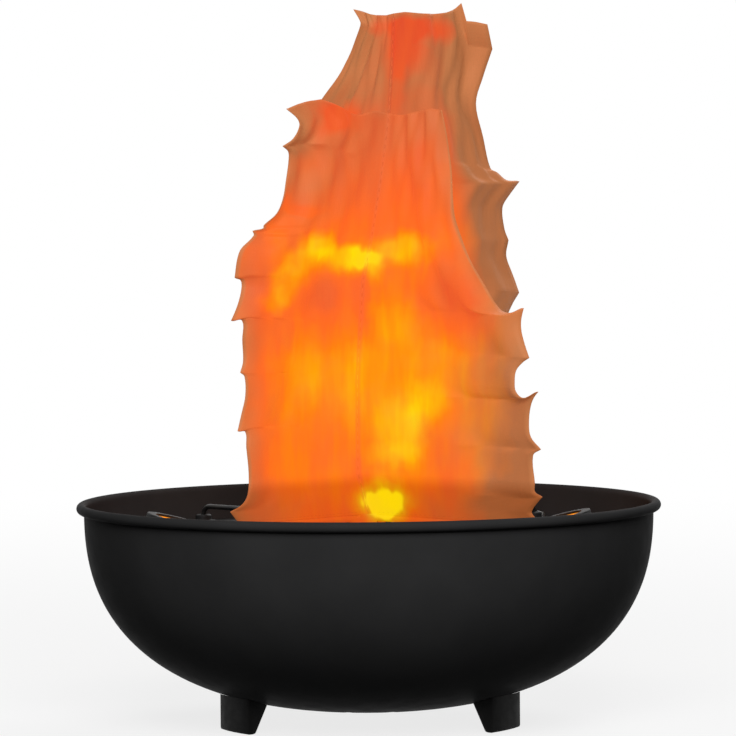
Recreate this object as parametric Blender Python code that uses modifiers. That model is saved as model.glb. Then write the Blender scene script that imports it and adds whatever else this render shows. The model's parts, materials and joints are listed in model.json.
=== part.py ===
"""Flame effect light: a lit silk flame blown up by a fan, in a round spun steel bowl on three feet.

Run it with blender --background --python part.py, or from Blender's text editor. Lengths are in metres and +Z is
up. The origin is on the floor, under the centre of the bowl. An azimuth is an angle round Z seen from above: 0 is
the front, which faces -Y, and a quarter turn is the right-hand side, +X. Each piece is modelled at the front and
then turned to its azimuth.
"""

import math

import bmesh
import bpy
import numpy as np
from mathutils import Matrix, Vector

# Gaps between pieces
SEAT_GAP = 0.0003
SCREW_GAP = 0.0003
WALL_GAP = 0.0009

# Bowl: a superellipse turned round Z, with a rolled bead as its rim
RIM_RADIUS = 0.140
RIM_BEAD = 0.0024
BOWL_DEPTH = 0.0973
BOWL_LIFT = 0.0070
RIM_HEIGHT = BOWL_DEPTH + BOWL_LIFT
BOWL_WALL = 0.0012
BOWL_FULLNESS = 2.46
BOWL_SEGMENTS = 48
INTAKE_SLOTS = 12
INTAKE_SLOT_START = 0.021
INTAKE_SLOT_LENGTH = 0.027
INTAKE_SLOT_WIDTH = 0.0055

# Feet: curved wedges under the bowl, each held by a screw from inside
FOOT_AZIMUTHS = {"left": math.radians(-60), "right": math.radians(60), "rear": math.radians(180)}
FOOT_RADIUS = 0.0757
FOOT_HALF_ANGLE = math.radians(11)
FOOT_TOE = 0.0044
FOOT_INNER_LEAN = math.radians(29.5)
FOOT_CORNER = 0.0011
FOOT_SCREW_RADIUS = 0.0685
FOOT_SCREW_SHANK = 0.0015
FOOT_SCREW_LENGTH = 0.0095

# Deck: the round sheet that carries the fan, the lamps and the silk
DECK_DROP = 0.0143
DECK_HEIGHT = RIM_HEIGHT - DECK_DROP
DECK_SHEET = 0.0012
DECK_EDGE_GAP = 0.0013
DECK_SCREW_INSET = 0.0070
DECK_SCREW_SHANK = 0.0019
DECK_SCREW_LENGTH = 0.0080
BRACKET_AZIMUTHS = [math.radians(18.5 + 120 * k) for k in range(3)]
BRACKET_HALF_ANGLE = math.radians(3.2)
BRACKET_SHEET = 0.0016
BRACKET_LEG = 0.0120
BRACKET_REACH = 0.0128

# Fan: a square axial fan that blows up through the deck
FAN_SIZE = 0.120
FAN_DEPTH = 0.025
FAN_BORE_INSET = 0.0020
FAN_BORE = FAN_SIZE / 2 - FAN_BORE_INSET
FAN_DUCT_WALL = 0.0016
FAN_CORNER = 0.0060
FAN_HOLE_INSET = 0.0075
FAN_HOLE_PITCH = FAN_SIZE - 2 * FAN_HOLE_INSET
FAN_FLANGE = 0.0036
FAN_STRUT_WIDTH = 0.0034
FAN_STRUT_DEPTH = 0.0030
MOUNT_RADIUS = 0.0220
MOUNT_SHEET = 0.0020
MOUNT_INSET = 0.0004
BLADES = 7
BLADE_SHEET = 0.0014
BLADE_TIP_GAP = 0.0015
BLADE_CHORDS = (0.0200, 0.0330)
BLADE_PITCHES = (math.radians(50), math.radians(27))
BLADE_SWEEP = 0.22
BLADE_CAMBER = 0.0026
HUB_RADIUS = 0.0205
HUB_WALL = 0.0015
HUB_FLOOR = 0.0018
HUB_INSET = 0.0015
HUB_TOP_GAP = 0.0008
SHAFT_RADIUS = 0.0015
BEARING_RADIUS = 0.0040
BEARING_LENGTH = 0.0125
BEARING_TUBE_WALL = 0.0012
STATOR_RADIUS = 0.0158
STATOR_HEIGHT = 0.0070
MAGNET_WALL = 0.0022
FAN_SCREW_SHANK = 0.0019
FAN_SCREW_HEAD = 0.0038
FAN_SCREW_LENGTH = 0.0105

# Guard: wire rings welded on four spokes over the fan
GUARD_WIRE = 0.0010
GUARD_HEIGHT = 0.0055
GUARD_EDGE = 0.0030
GUARD_PITCH = 0.0130
GUARD_RINGS = [FAN_BORE - GUARD_EDGE - GUARD_PITCH * k for k in (3, 2, 1, 0)]
GUARD_WELD = 0.0006
GUARD_EYE_SHEET = 0.0016
GUARD_EYE_RADIUS = 0.0046

# Lamps: four tilted heads round the fan, between the flame's wings
LAMP_AZIMUTHS = [math.radians(90 * k) for k in range(4)]
LAMP_TILT = math.radians(15)
LAMP_RADIUS = 0.0145
LAMP_PLACE = 0.271
LAMP_COLLAR_WALL = 0.0020
LAMP_COLLAR_TOP = 0.0080
LAMP_COLLAR_DROP = 0.0080
LAMP_LIP = 0.0010
LAMP_LIP_WIDTH = 0.0022
LAMP_BASE_RADIUS = 0.0265
LAMP_BASE_SHEET = 0.0020
LAMP_DECK_GAP = 0.0011
LAMP_LENS_DEPTH = 0.0088
LAMP_BOARD_SHEET = 0.0016
LAMP_SINK_LENGTH = 0.0200
LAMP_FINS = 10
LAMP_FIN_DEPTH = 0.0050
LAMP_SCREW_INSET = 0.0050
LAMP_SCREW_SHANK = 0.0014

# Silk frame: two crossed wire rods on the diagonals, in four sockets
ROD_AZIMUTHS = [math.radians(45 + 90 * k) for k in range(4)]
ROD_RADIUS = 0.00125
ROD_GUARD_GAP = 0.00075
ROD_HEIGHT = DECK_HEIGHT + GUARD_HEIGHT + GUARD_WIRE + ROD_GUARD_GAP + ROD_RADIUS
ROD_INSET = 0.0173
ROD_BEND = 0.0045
SOCKET_RADIUS = 0.0040
SOCKET_FLANGE = 0.0060
SOCKET_FLANGE_SHEET = 0.0014
SOCKET_TOP = 0.0045
SOCKET_DROP = 0.0050
SOCKET_FLOOR = 0.0012

# Silk: two sheets sewn together along the flame's middle, so that four wings stand on the rods. Its lines are in
# flame units, of which this many fit a rod's straight half, so that one is a millimetre at this size.
ROD_FLAME_UNITS = 111.5
SILK_SHEET = 0.0008
SEAM_HALF_GAP = 0.0008
WING_COLUMNS = 7
FOLD_DEPTH = 0.0085
FOLDS_PER_WING = 1.15
FOLD_TWIST = 1.7
FOLD_WIDTH = 70
SEAM_LINE = ((0, 0), (20, -5), (64, -5), (111, -2), (136, 3), (160, 7), (190, 11), (220, 13), (245, 14))

# Each wing's free edge from the rod up, in flame units: how far right of the middle, and how high above the rod
FRONT_LEFT_EDGE = (
    (-62, 0), (-65, 7), (-59, 9), (-57, 14), (-57, 23), (-58, 42), (-62, 45), (-58, 50), (-58, 64), (-60, 70),
    (-58, 76), (-59, 91), (-63, 98), (-59, 101), (-59, 113), (-61, 125), (-59, 130), (-52, 135), (-49, 138),
    (-45, 146), (-41, 155), (-38, 164), (-37, 176), (-32, 182), (-31, 188), (-36, 194),
)
FRONT_RIGHT_EDGE = (
    (77, 0), (77, 10), (80, 14), (77, 17), (75, 26), (75, 33), (78, 37), (74, 41), (73, 53), (75, 57),
    (78, 62), (71, 63), (67, 65), (68, 71), (74, 80), (71, 85), (70, 93), (72, 99), (66, 100), (61, 102),
    (56, 110), (49, 130), (45, 139), (42, 153), (41, 178), (39, 193),
)
BACK_LEFT_EDGE = (
    (-66, 0), (-64, 10), (-54, 20), (-58, 31), (-50, 40), (-48, 55), (-56, 66), (-49, 74), (-50, 88), (-46, 98),
    (-53, 108), (-44, 116), (-42, 132), (-47, 143), (-37, 152), (-35, 165), (-36, 176), (-28, 188), (-20, 200),
    (-15, 207), (-12, 212), (-8, 218), (-5, 224), (-2, 230), (1, 236), (-2, 242),
)
BACK_RIGHT_EDGE = (
    (73, 0), (76, 10), (66, 18), (70, 30), (62, 38), (64, 52), (69, 62), (64, 72), (67, 86), (76, 103),
    (73, 111), (74, 116), (71, 122), (69, 136), (72, 147), (77, 156), (68, 159), (62, 165), (60, 171), (57, 178),
    (56, 187), (55, 197), (56, 206), (60, 215), (64, 223), (62, 234),
)
# Each wing's top from the seam out to its edge, in flame units above the straight line between the two
FRONT_LEFT_TOP = (0, 4, -3, -6, 3, -4, 0)
FRONT_RIGHT_TOP = (0, -3, 4, -4, -7, 2, 0)
BACK_LEFT_TOP = (0, -1, -2, -2, -2, -1, 0)
BACK_RIGHT_TOP = (0, 1, 2, 3, 4, 9, 0)
FRONT_SEAM_TOP = 192
BACK_SEAM_TOP = 235.5

# Controls on the rear wall
SWITCH_AZIMUTH = math.radians(163)
CONTROL_DROP = 0.0160
CONTROL_HEIGHT = DECK_HEIGHT - CONTROL_DROP
CONTROL_SEAT = 0.0005
SWITCH_FLANGE = (0.0150, 0.0210, 0.0018)
SWITCH_BODY = (0.0124, 0.0186, 0.0150)
SWITCH_BODY_GAP = 0.0004
SWITCH_POCKET = (0.0096, 0.0156, 0.0075)
ROCKER_SIZE = (0.0088, 0.0142)
ROCKER_TILT = math.radians(8)
ROCKER_PIVOT_DEPTH = 0.0010
ROCKER_CROWN = 0.0024
ROCKER_DROP = 0.0036
PIVOT_RADIUS = 0.0011
PIVOT_REACH = 0.0011
SUPPLY_AZIMUTH = math.radians(197)
SUPPLY_BARREL = 0.0040
SUPPLY_FLANGE = 0.0056
SUPPLY_FLANGE_SHEET = 0.0020
SUPPLY_LENGTH = 0.0150
SUPPLY_BORE = 0.0028
SUPPLY_PIN = 0.0010
SUPPLY_BORE_DEPTH = 0.0095
SUPPLY_PIN_RECESS = 0.0012
SUPPLY_NUT_RADIUS = 0.0062
SUPPLY_NUT_SHEET = 0.0024
SUPPLY_NUT_STANDOFF = 0.0012

# Driver: the potted module that feeds the fan and the lamps, hung under the deck
DRIVER_AZIMUTH = math.radians(225)
DRIVER_PLACE = 0.346
DRIVER_SIZE = (0.0500, 0.0240, 0.0160)
DRIVER_PILLAR = 0.0080
DRIVER_PILLAR_RADIUS = 0.0036
DRIVER_SCREW_OFFSET = 0.0180
DRIVER_SCREW_SHANK = 0.0014

# Leads under the deck
LEAD_RADIUS = 0.0012
LEAD_STEP = 0.0100
LEAD_INSET = 0.0263
HARNESS_OFFSET = 0.0030
FAN_LEAD_INSET = 0.0180
LEAD_DROP = 0.0330

PART = bpy.data.collections.new("flame_effect_light")
CUTTERS = bpy.data.collections.new("cutters")


def clear_scene():
    """Removes what the file holds and links the two collections."""
    for obj in list(bpy.data.objects):
        bpy.data.objects.remove(obj, do_unlink=True)
    for collection in (PART, CUTTERS):
        bpy.context.scene.collection.children.link(collection)


def finish(name, colour, roughness, metallic=0.0):
    """A Principled material."""
    made = bpy.data.materials.new(name)
    made.use_nodes = True
    shader = made.node_tree.nodes["Principled BSDF"]
    shader.inputs["Base Color"].default_value = (*colour, 1.0)
    shader.inputs["Roughness"].default_value = roughness
    shader.inputs["Metallic"].default_value = metallic
    return made


def show(obj, material):
    """Puts a finished piece in the part's collection with its material."""
    for collection in list(obj.users_collection):
        collection.objects.unlink(obj)
    PART.objects.link(obj)
    obj.data.materials.clear()
    obj.data.materials.append(material)
    return obj


def as_cutter(obj):
    """Hides a shape that only cuts or guides."""
    for collection in list(obj.users_collection):
        collection.objects.unlink(obj)
    CUTTERS.objects.link(obj)
    obj.hide_render = True
    obj.display_type = "WIRE"
    return obj


def mesh_object(name, bm, smooth_angle=35.0):
    """A new object from a bmesh, with its normals facing out."""
    bmesh.ops.recalc_face_normals(bm, faces=bm.faces)
    mesh = bpy.data.meshes.new(name)
    bm.to_mesh(mesh)
    bm.free()
    mesh.shade_smooth()
    mesh.set_sharp_from_angle(angle=math.radians(smooth_angle))
    obj = bpy.data.objects.new(name, mesh)
    CUTTERS.objects.link(obj)
    return obj


def place(obj, matrix):
    """Moves an object's mesh, so that its own origin stays at the world's."""
    obj.data.transform(matrix)
    obj.data.update()
    return obj


def copy_of(obj, name):
    """A second object with a mesh of its own."""
    made = bpy.data.objects.new(name, obj.data.copy())
    CUTTERS.objects.link(made)
    return made


def box(name, size, centre=(0, 0, 0)):
    """A closed box of these three sides."""
    bm = bmesh.new()
    bmesh.ops.create_cube(bm, size=1.0)
    bmesh.ops.scale(bm, vec=Vector(size), verts=bm.verts)
    bmesh.ops.translate(bm, vec=Vector(centre), verts=bm.verts)
    return mesh_object(name, bm)


def rod(name, radius, low, high, segments=20, top_radius=None):
    """A closed cylinder or cone along Z from low to high."""
    bm = bmesh.new()
    bmesh.ops.create_cone(
        bm,
        cap_ends=True,
        segments=segments,
        radius1=radius,
        radius2=radius if top_radius is None else top_radius,
        depth=high - low,
    )
    bmesh.ops.translate(bm, vec=Vector((0, 0, (low + high) / 2)), verts=bm.verts)
    return mesh_object(name, bm)


def turned(name, profile, segments=24, closed=False):
    """A profile of (radius, height) turned once round Z. It runs down its outer side."""
    mesh = bpy.data.meshes.new(name)
    points = [(radius, 0.0, height) for radius, height in profile]
    edges = [(k, k + 1) for k in range(len(points) - 1)]
    if closed:
        edges.append((len(points) - 1, 0))
    mesh.from_pydata(points, edges, [])
    obj = bpy.data.objects.new(name, mesh)
    CUTTERS.objects.link(obj)
    screw = obj.modifiers.new("turn", "SCREW")
    screw.steps = segments
    screw.render_steps = segments
    screw.use_merge_vertices = True
    screw.merge_threshold = 0.00001
    screw.use_smooth_shade = True
    return baked(obj)


def ring(name, inner, outer, low, high, segments=24):
    """A flat-ended tube round Z."""
    profile = [(inner, low), (inner, high), (outer, high), (outer, low)]
    return turned(name, profile, segments, closed=True)


def baked(obj):
    """The object with its modifiers made into its mesh."""
    evaluated = obj.evaluated_get(bpy.context.evaluated_depsgraph_get())
    mesh = bpy.data.meshes.new_from_object(evaluated)
    bm = bmesh.new()
    bm.from_mesh(mesh)
    bmesh.ops.remove_doubles(bm, verts=bm.verts, dist=0.000001)
    bmesh.ops.recalc_face_normals(bm, faces=bm.faces)
    bm.to_mesh(mesh)
    bm.free()
    made = bpy.data.objects.new(obj.name, mesh)
    name, matrix = obj.name, obj.matrix_world.copy()
    bpy.data.objects.remove(obj, do_unlink=True)
    made.name = name
    CUTTERS.objects.link(made)
    mesh.transform(matrix)
    return made


def circle_points(radius, count, centre=(0.0, 0.0)):
    """Points round a circle."""
    turns = [2 * math.pi * k / count for k in range(count)]
    return [(centre[0] + radius * math.cos(a), centre[1] + radius * math.sin(a)) for a in turns]


def rounded_square(side, corner, count=3):
    """The outline of a square with round corners."""
    points = []
    reach = side / 2 - corner
    for k, (sx, sy) in enumerate(((1, 1), (-1, 1), (-1, -1), (1, -1))):
        for j in range(count + 1):
            a = math.pi / 2 * (k + j / count)
            points.append((sx * reach + corner * math.cos(a), sy * reach + corner * math.sin(a)))
    return points


def plate(name, outlines, low, high):
    """A flat piece cut to an outline, with the further outlines as its holes."""
    curve = bpy.data.curves.new(name, "CURVE")
    curve.dimensions = "2D"
    curve.fill_mode = "BOTH"
    curve.extrude = (high - low) / 2
    for outline in outlines:
        spline = curve.splines.new("POLY")
        spline.points.add(len(outline) - 1)
        for point, (x, y) in zip(spline.points, outline):
            point.co = (x, y, 0, 1)
        spline.use_cyclic_u = True
    obj = bpy.data.objects.new(name, curve)
    CUTTERS.objects.link(obj)
    obj.location.z = (low + high) / 2
    bpy.context.view_layer.update()
    made = baked(obj)
    made.data.shade_smooth()
    made.data.set_sharp_from_angle(angle=math.radians(35))
    return made


def tube(name, points, radius, sides=1):
    """A round wire along a line of points, as a closed mesh."""
    curve = bpy.data.curves.new(name, "CURVE")
    curve.dimensions = "3D"
    curve.bevel_depth = radius
    curve.bevel_resolution = sides
    curve.use_fill_caps = True
    spline = curve.splines.new("POLY")
    spline.points.add(len(points) - 1)
    for point, place_at in zip(spline.points, points):
        point.co = (*place_at, 1)
    obj = bpy.data.objects.new(name, curve)
    CUTTERS.objects.link(obj)
    bpy.context.view_layer.update()
    return baked(obj)


def torus(name, major, minor, height, segments, sides=6):
    """A wire ring round Z."""
    centre = [(major + minor * math.cos(a), height + minor * math.sin(a)) for a in
              (-2 * math.pi * (k + 0.5) / sides for k in range(sides))]
    return turned(name, centre, segments, closed=True)


def boolean(obj, tool, operation="DIFFERENCE"):
    """Cuts or joins with a tool, and makes the result the object's mesh."""
    modifier = obj.modifiers.new("cut", "BOOLEAN")
    modifier.operation = operation
    modifier.object = tool
    modifier.solver = "EXACT"
    bpy.context.view_layer.update()
    made = baked(obj)
    as_cutter(tool)
    return made


def joined(name, pieces, operation="UNION"):
    """The union of several closed shapes."""
    whole = pieces[0]
    for piece in pieces[1:]:
        whole = boolean(whole, piece, operation)
    whole.name = name
    return whole


def grouped(name, pieces):
    """Several separate solids as one object."""
    bm = bmesh.new()
    for piece in pieces:
        bm.from_mesh(piece.data)
        bpy.data.objects.remove(piece, do_unlink=True)
    return mesh_object(name, bm)


def turn(azimuth):
    """The turn that takes a piece from the front to its azimuth."""
    return Matrix.Rotation(azimuth, 4, "Z")


def at(azimuth, radius, height):
    """A point in the part, from its azimuth, distance from Z and height."""
    return Vector((radius * math.sin(azimuth), -radius * math.cos(azimuth), height))


def blend(low, high, share):
    """The value a share of the way from low to high."""
    return low + (high - low) * share


# The bowl's shape


WALL_RADIUS = RIM_RADIUS - 2 * RIM_BEAD + BOWL_WALL


def bowl_point(dip, inset=0.0):
    """(radius, height) where the wall's outward normal dips this far below the horizon, or that far inside it."""
    cosine, sine = max(math.cos(dip), 0.0), math.sin(dip)
    across, down = WALL_RADIUS * cosine, BOWL_DEPTH * sine
    power = 1 / (BOWL_FULLNESS - 1)
    size = (across ** (power + 1) + down ** (power + 1)) ** (1 / BOWL_FULLNESS)
    radius, drop = WALL_RADIUS * across**power / size, BOWL_DEPTH * down**power / size
    return radius - inset * cosine, RIM_HEIGHT - drop + inset * sine


def bowl_dips(count):
    """Dips from the rim to the bottom, closer together towards both ends, where the wall is flattest."""
    shares = [k / count for k in range(count + 1)]
    return [math.pi / 2 * share * share * (3 - 2 * share) for share in shares]


def wall_radius(height, inset=0.0):
    """The wall's radius at a height, taken at the inset surface."""
    low, high = 0.0, math.pi / 2
    for _ in range(40):
        middle = (low + high) / 2
        if bowl_point(middle, inset)[1] > height:
            low = middle
        else:
            high = middle
    return bowl_point(low, inset)[0]


def bowl_height(radius, inset=0.0):
    """The wall's height at a distance from Z, taken at the inset surface."""
    low, high = 0.0, math.pi / 2
    for _ in range(40):
        middle = (low + high) / 2
        if bowl_point(middle, inset)[0] > radius:
            low = middle
        else:
            high = middle
    return bowl_point(low, inset)[1]


def wall_dip(height):
    """How far the wall's outward normal dips below the horizon at a height on its outer surface."""
    low, high = 0.0, math.pi / 2
    for _ in range(40):
        middle = (low + high) / 2
        if bowl_point(middle)[1] > height:
            low = middle
        else:
            high = middle
    return low


def wall_frame(azimuth, height):
    """The frame on the wall's outer surface: X sideways, Y up the wall and Z out of it."""
    dip = wall_dip(height)
    sine, cosine = math.sin(dip), math.cos(dip)
    radius = bowl_point(dip)[0]
    axes = Matrix(((1, 0, 0, 0), (0, -sine, -cosine, -radius), (0, cosine, -sine, height), (0, 0, 0, 1)))
    return turn(azimuth) @ axes


def bowl_profile():
    """The bowl's section, from the inner bottom up, over the bead and down the outside."""
    inner = [bowl_point(dip, BOWL_WALL) for dip in reversed(bowl_dips(9)[1:])]
    inner[0] = (0.0, RIM_HEIGHT - BOWL_DEPTH + BOWL_WALL)
    bead_radius = RIM_RADIUS - RIM_BEAD
    turns = [math.pi / 4 * (4 - k) for k in range(7)] + [-math.acos((WALL_RADIUS - bead_radius) / RIM_BEAD)]
    bead = [(bead_radius + RIM_BEAD * math.cos(a), RIM_HEIGHT + RIM_BEAD * math.sin(a)) for a in turns]
    outer = [bowl_point(dip) for dip in bowl_dips(12)[1:]]
    outer[-1] = (0.0, RIM_HEIGHT - BOWL_DEPTH)
    return inner + bead + outer


def bowl_space(name, gap):
    """The solid that fills the bowl's outer shape, grown by a gap, as a cutter."""
    outer = [bowl_point(dip, -gap) for dip in bowl_dips(16)]
    outer[-1] = (0.0, RIM_HEIGHT - BOWL_DEPTH - gap)
    return turned(name, [(0.0, RIM_HEIGHT)] + outer, 2 * BOWL_SEGMENTS)


def intake_slots():
    """The cutter for the ring of air slots in the bowl's bottom."""
    slots = []
    reach = BOWL_DEPTH / 2
    for k in range(INTAKE_SLOTS):
        centre = (0, -(INTAKE_SLOT_START + INTAKE_SLOT_LENGTH / 2), RIM_HEIGHT - BOWL_DEPTH)
        slot = box("slot", (INTAKE_SLOT_WIDTH, INTAKE_SLOT_LENGTH, reach), centre)
        slots.append(place(slot, turn(2 * math.pi * (k + 0.5) / INTAKE_SLOTS)))
    return grouped("intake_slot_cutter", slots)


def foot_screw_frame(azimuth):
    """Where a foot's screw enters, on the bowl's inner surface: Z points back along the screw, into the bowl."""
    dip = wall_dip(bowl_height(FOOT_SCREW_RADIUS))
    axis = Matrix.Rotation(-(math.pi / 2 - dip), 4, "X")
    inside = bowl_point(dip, BOWL_WALL + WALL_GAP)
    return turn(azimuth) @ Matrix.Translation((0, -inside[0], inside[1])) @ axis


def make_bowl(paint):
    """The spun bowl, with its air slots and the holes for the feet's screws and the controls."""
    bowl = turned("bowl", bowl_profile(), BOWL_SEGMENTS)
    bowl = boolean(bowl, intake_slots())
    holes = []
    for azimuth in FOOT_AZIMUTHS.values():
        hole = rod("hole", FOOT_SCREW_SHANK + SCREW_GAP, -0.006, 0.006, 12)
        holes.append(place(hole, foot_screw_frame(azimuth)))
    body = [side + 2 * SWITCH_BODY_GAP for side in SWITCH_BODY[:2]]
    holes.append(place(box("hole", (*body, 0.020)), wall_frame(SWITCH_AZIMUTH, CONTROL_HEIGHT)))
    barrel = rod("hole", SUPPLY_BARREL + SEAT_GAP, -0.010, 0.010, 20)
    holes.append(place(barrel, wall_frame(SUPPLY_AZIMUTH, CONTROL_HEIGHT)))
    bowl = boolean(bowl, grouped("bowl_hole_cutter", holes))
    return show(bowl, paint)


# Feet


def arc_solid(name, profile, half_angle, steps):
    """A closed section of (radius, height) swept round Z, half the angle to each side of the front."""
    bm = bmesh.new()
    start = Matrix.Rotation(-half_angle, 4, "Z")
    verts = [bm.verts.new(start @ Vector((0, -radius, height))) for radius, height in profile]
    edges = [bm.edges.new((verts[k - 1], verts[k])) for k in range(len(verts))]
    bmesh.ops.spin(
        bm,
        geom=verts + edges,
        cent=(0, 0, 0),
        axis=(0, 0, 1),
        angle=2 * half_angle,
        steps=steps,
        use_duplicate=False,
    )
    ends = [edge for edge in bm.edges if edge.is_boundary]
    bmesh.ops.holes_fill(bm, edges=ends, sides=0)
    return mesh_object(name, bm)


def make_feet(plastic, steel):
    """Three moulded feet that fit the bowl's underside, and their screws."""
    top = bowl_height(FOOT_RADIUS) + 0.006
    heel = FOOT_RADIUS - FOOT_TOE
    profile = [
        (FOOT_RADIUS, 0.0),
        (FOOT_RADIUS, top),
        (heel - top * math.tan(FOOT_INNER_LEAN), top),
        (heel, 0.0),
    ]
    space = bowl_space("foot_top_cutter", SEAT_GAP)
    for place_name, azimuth in FOOT_AZIMUTHS.items():
        foot = arc_solid(f"foot_{place_name}", profile, FOOT_HALF_ANGLE, 4)
        bevel = foot.modifiers.new("round", "BEVEL")
        bevel.width = FOOT_CORNER
        bevel.segments = 2
        bevel.limit_method = "ANGLE"
        bevel.angle_limit = math.radians(40)
        bpy.context.view_layer.update()
        foot = place(baked(foot), turn(azimuth))
        foot = boolean(foot, space)
        hole = rod("foot_hole_cutter", FOOT_SCREW_SHANK + SCREW_GAP, -FOOT_SCREW_LENGTH - 0.0006, 0.004, 12)
        foot = boolean(foot, place(hole, foot_screw_frame(azimuth)))
        show(foot, plastic)
        screw = pan_screw(f"foot_screw_{place_name}", 0.0030, 0.0020, FOOT_SCREW_SHANK, FOOT_SCREW_LENGTH)
        show(place(screw, foot_screw_frame(azimuth)), steel)


def pan_screw(name, head_radius, head_height, shank_radius, length, segments=10):
    """A pan-head screw along Z: its head sits just above 0, and its shank runs down."""
    seat = SEAT_GAP
    profile = [
        (0.0, seat + head_height),
        (0.62 * head_radius, seat + head_height),
        (head_radius, seat + 0.55 * head_height),
        (head_radius, seat),
        (shank_radius, seat),
        (shank_radius, -length + shank_radius / 2),
        (shank_radius / 2, -length),
        (0.0, -length),
    ]
    return turned(name, profile, segments)


# Deck and its brackets


DECK_BOTTOM = DECK_HEIGHT - DECK_SHEET
DECK_RADIUS = wall_radius(DECK_BOTTOM, BOWL_WALL) - DECK_EDGE_GAP
DECK_SCREW_CIRCLE = DECK_RADIUS - DECK_SCREW_INSET
FAN_SCREW_CIRCLE = FAN_HOLE_PITCH / math.sqrt(2)
FAN_TOP = DECK_BOTTOM - SEAT_GAP
LAMP_FREE_ROOM = DECK_RADIUS - FAN_SIZE / 2 - 2 * LAMP_BASE_RADIUS
LAMP_CIRCLE = FAN_SIZE / 2 + LAMP_BASE_RADIUS + LAMP_PLACE * LAMP_FREE_ROOM
LAMP_BORE = LAMP_RADIUS + SEAT_GAP
LAMP_COLLAR_RADIUS = LAMP_BORE + LAMP_COLLAR_WALL
LAMP_SCREW_OFFSET = LAMP_BASE_RADIUS - LAMP_SCREW_INSET
ROD_REACH = DECK_RADIUS - ROD_INSET
FLAME_UNIT = (ROD_REACH - ROD_BEND) / ROD_FLAME_UNITS
FAN_CORNER_REACH = FAN_SIZE / math.sqrt(2) - (math.sqrt(2) - 1) * FAN_CORNER
DRIVER_CIRCLE = blend(FAN_CORNER_REACH, DECK_RADIUS, DRIVER_PLACE)
LEAD_CIRCLE = DECK_RADIUS - LEAD_INSET


def flat(azimuth, radius, sideways=0.0):
    """(x, y) of a point on the deck, from its azimuth, distance from Z and offset to its right."""
    point = turn(azimuth) @ Vector((sideways, -radius, 0))
    return point.x, point.y


def deck_holes():
    """(radius, centre) of every round hole in the deck but the fan's."""
    holes = [(FAN_SCREW_SHANK + SCREW_GAP, flat(a, FAN_SCREW_CIRCLE)) for a in ROD_AZIMUTHS]
    holes += [(DECK_SCREW_SHANK + SCREW_GAP, flat(a, DECK_SCREW_CIRCLE)) for a in BRACKET_AZIMUTHS]
    holes += [(SOCKET_RADIUS + SEAT_GAP, flat(a, ROD_REACH)) for a in ROD_AZIMUTHS]
    for side in (-1, 1):
        offset = side * LAMP_SCREW_OFFSET
        holes += [(LAMP_SCREW_SHANK + SCREW_GAP, flat(a, LAMP_CIRCLE, offset)) for a in LAMP_AZIMUTHS]
        offset = side * DRIVER_SCREW_OFFSET
        holes.append((DRIVER_SCREW_SHANK + SCREW_GAP, flat(DRIVER_AZIMUTH, DRIVER_CIRCLE, offset)))
    return holes


def make_deck(paint, steel):
    """The deck, its three brackets on the bowl's wall and the screws that hold it."""
    lamp_hole = LAMP_COLLAR_RADIUS / math.cos(LAMP_TILT) + LAMP_DECK_GAP
    outlines = [circle_points(DECK_RADIUS, BOWL_SEGMENTS), circle_points(FAN_BORE, 28)]
    outlines += [circle_points(lamp_hole, 16, flat(a, LAMP_CIRCLE)) for a in LAMP_AZIMUTHS]
    outlines += [circle_points(radius, 8, centre) for radius, centre in deck_holes()]
    show(plate("deck_plate", outlines, DECK_BOTTOM, DECK_HEIGHT), paint)
    top = DECK_BOTTOM - SEAT_GAP
    wall = [
        (wall_radius(top - BRACKET_LEG * k / 3, BOWL_WALL + WALL_GAP), top - BRACKET_LEG * k / 3)
        for k in range(4)
    ]
    leg = [(radius - BRACKET_SHEET, min(height, top - BRACKET_SHEET)) for radius, height in reversed(wall)]
    tongue = wall[0][0] - BRACKET_REACH
    profile = wall + leg + [(tongue, top - BRACKET_SHEET), (tongue, top)]
    for k, azimuth in enumerate(BRACKET_AZIMUTHS):
        bracket = arc_solid(f"deck_bracket_{k + 1}", profile, BRACKET_HALF_ANGLE, 3)
        hole = rod("bracket_hole_cutter", DECK_SCREW_SHANK + SCREW_GAP, -0.010, 0.010, 10)
        bracket = boolean(bracket, place(hole, Matrix.Translation((0, -DECK_SCREW_CIRCLE, top))))
        show(place(bracket, turn(azimuth)), steel)
        screw = pan_screw(f"deck_screw_{k + 1}", 0.0045, 0.0036, DECK_SCREW_SHANK, DECK_SCREW_LENGTH)
        show(place(screw, Matrix.Translation(at(azimuth, DECK_SCREW_CIRCLE, DECK_HEIGHT))), steel)


# Fan


def fan_flange(name, low, high):
    """One of the fan's two square flanges, with its round opening and corner holes."""
    outlines = [rounded_square(FAN_SIZE, FAN_CORNER, 2), circle_points(FAN_BORE + FAN_DUCT_WALL / 2, 32)]
    hole = FAN_SCREW_SHANK + SCREW_GAP
    outlines += [circle_points(hole, 8, flat(a, FAN_SCREW_CIRCLE)) for a in ROD_AZIMUTHS]
    return plate(name, outlines, low, high)


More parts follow.
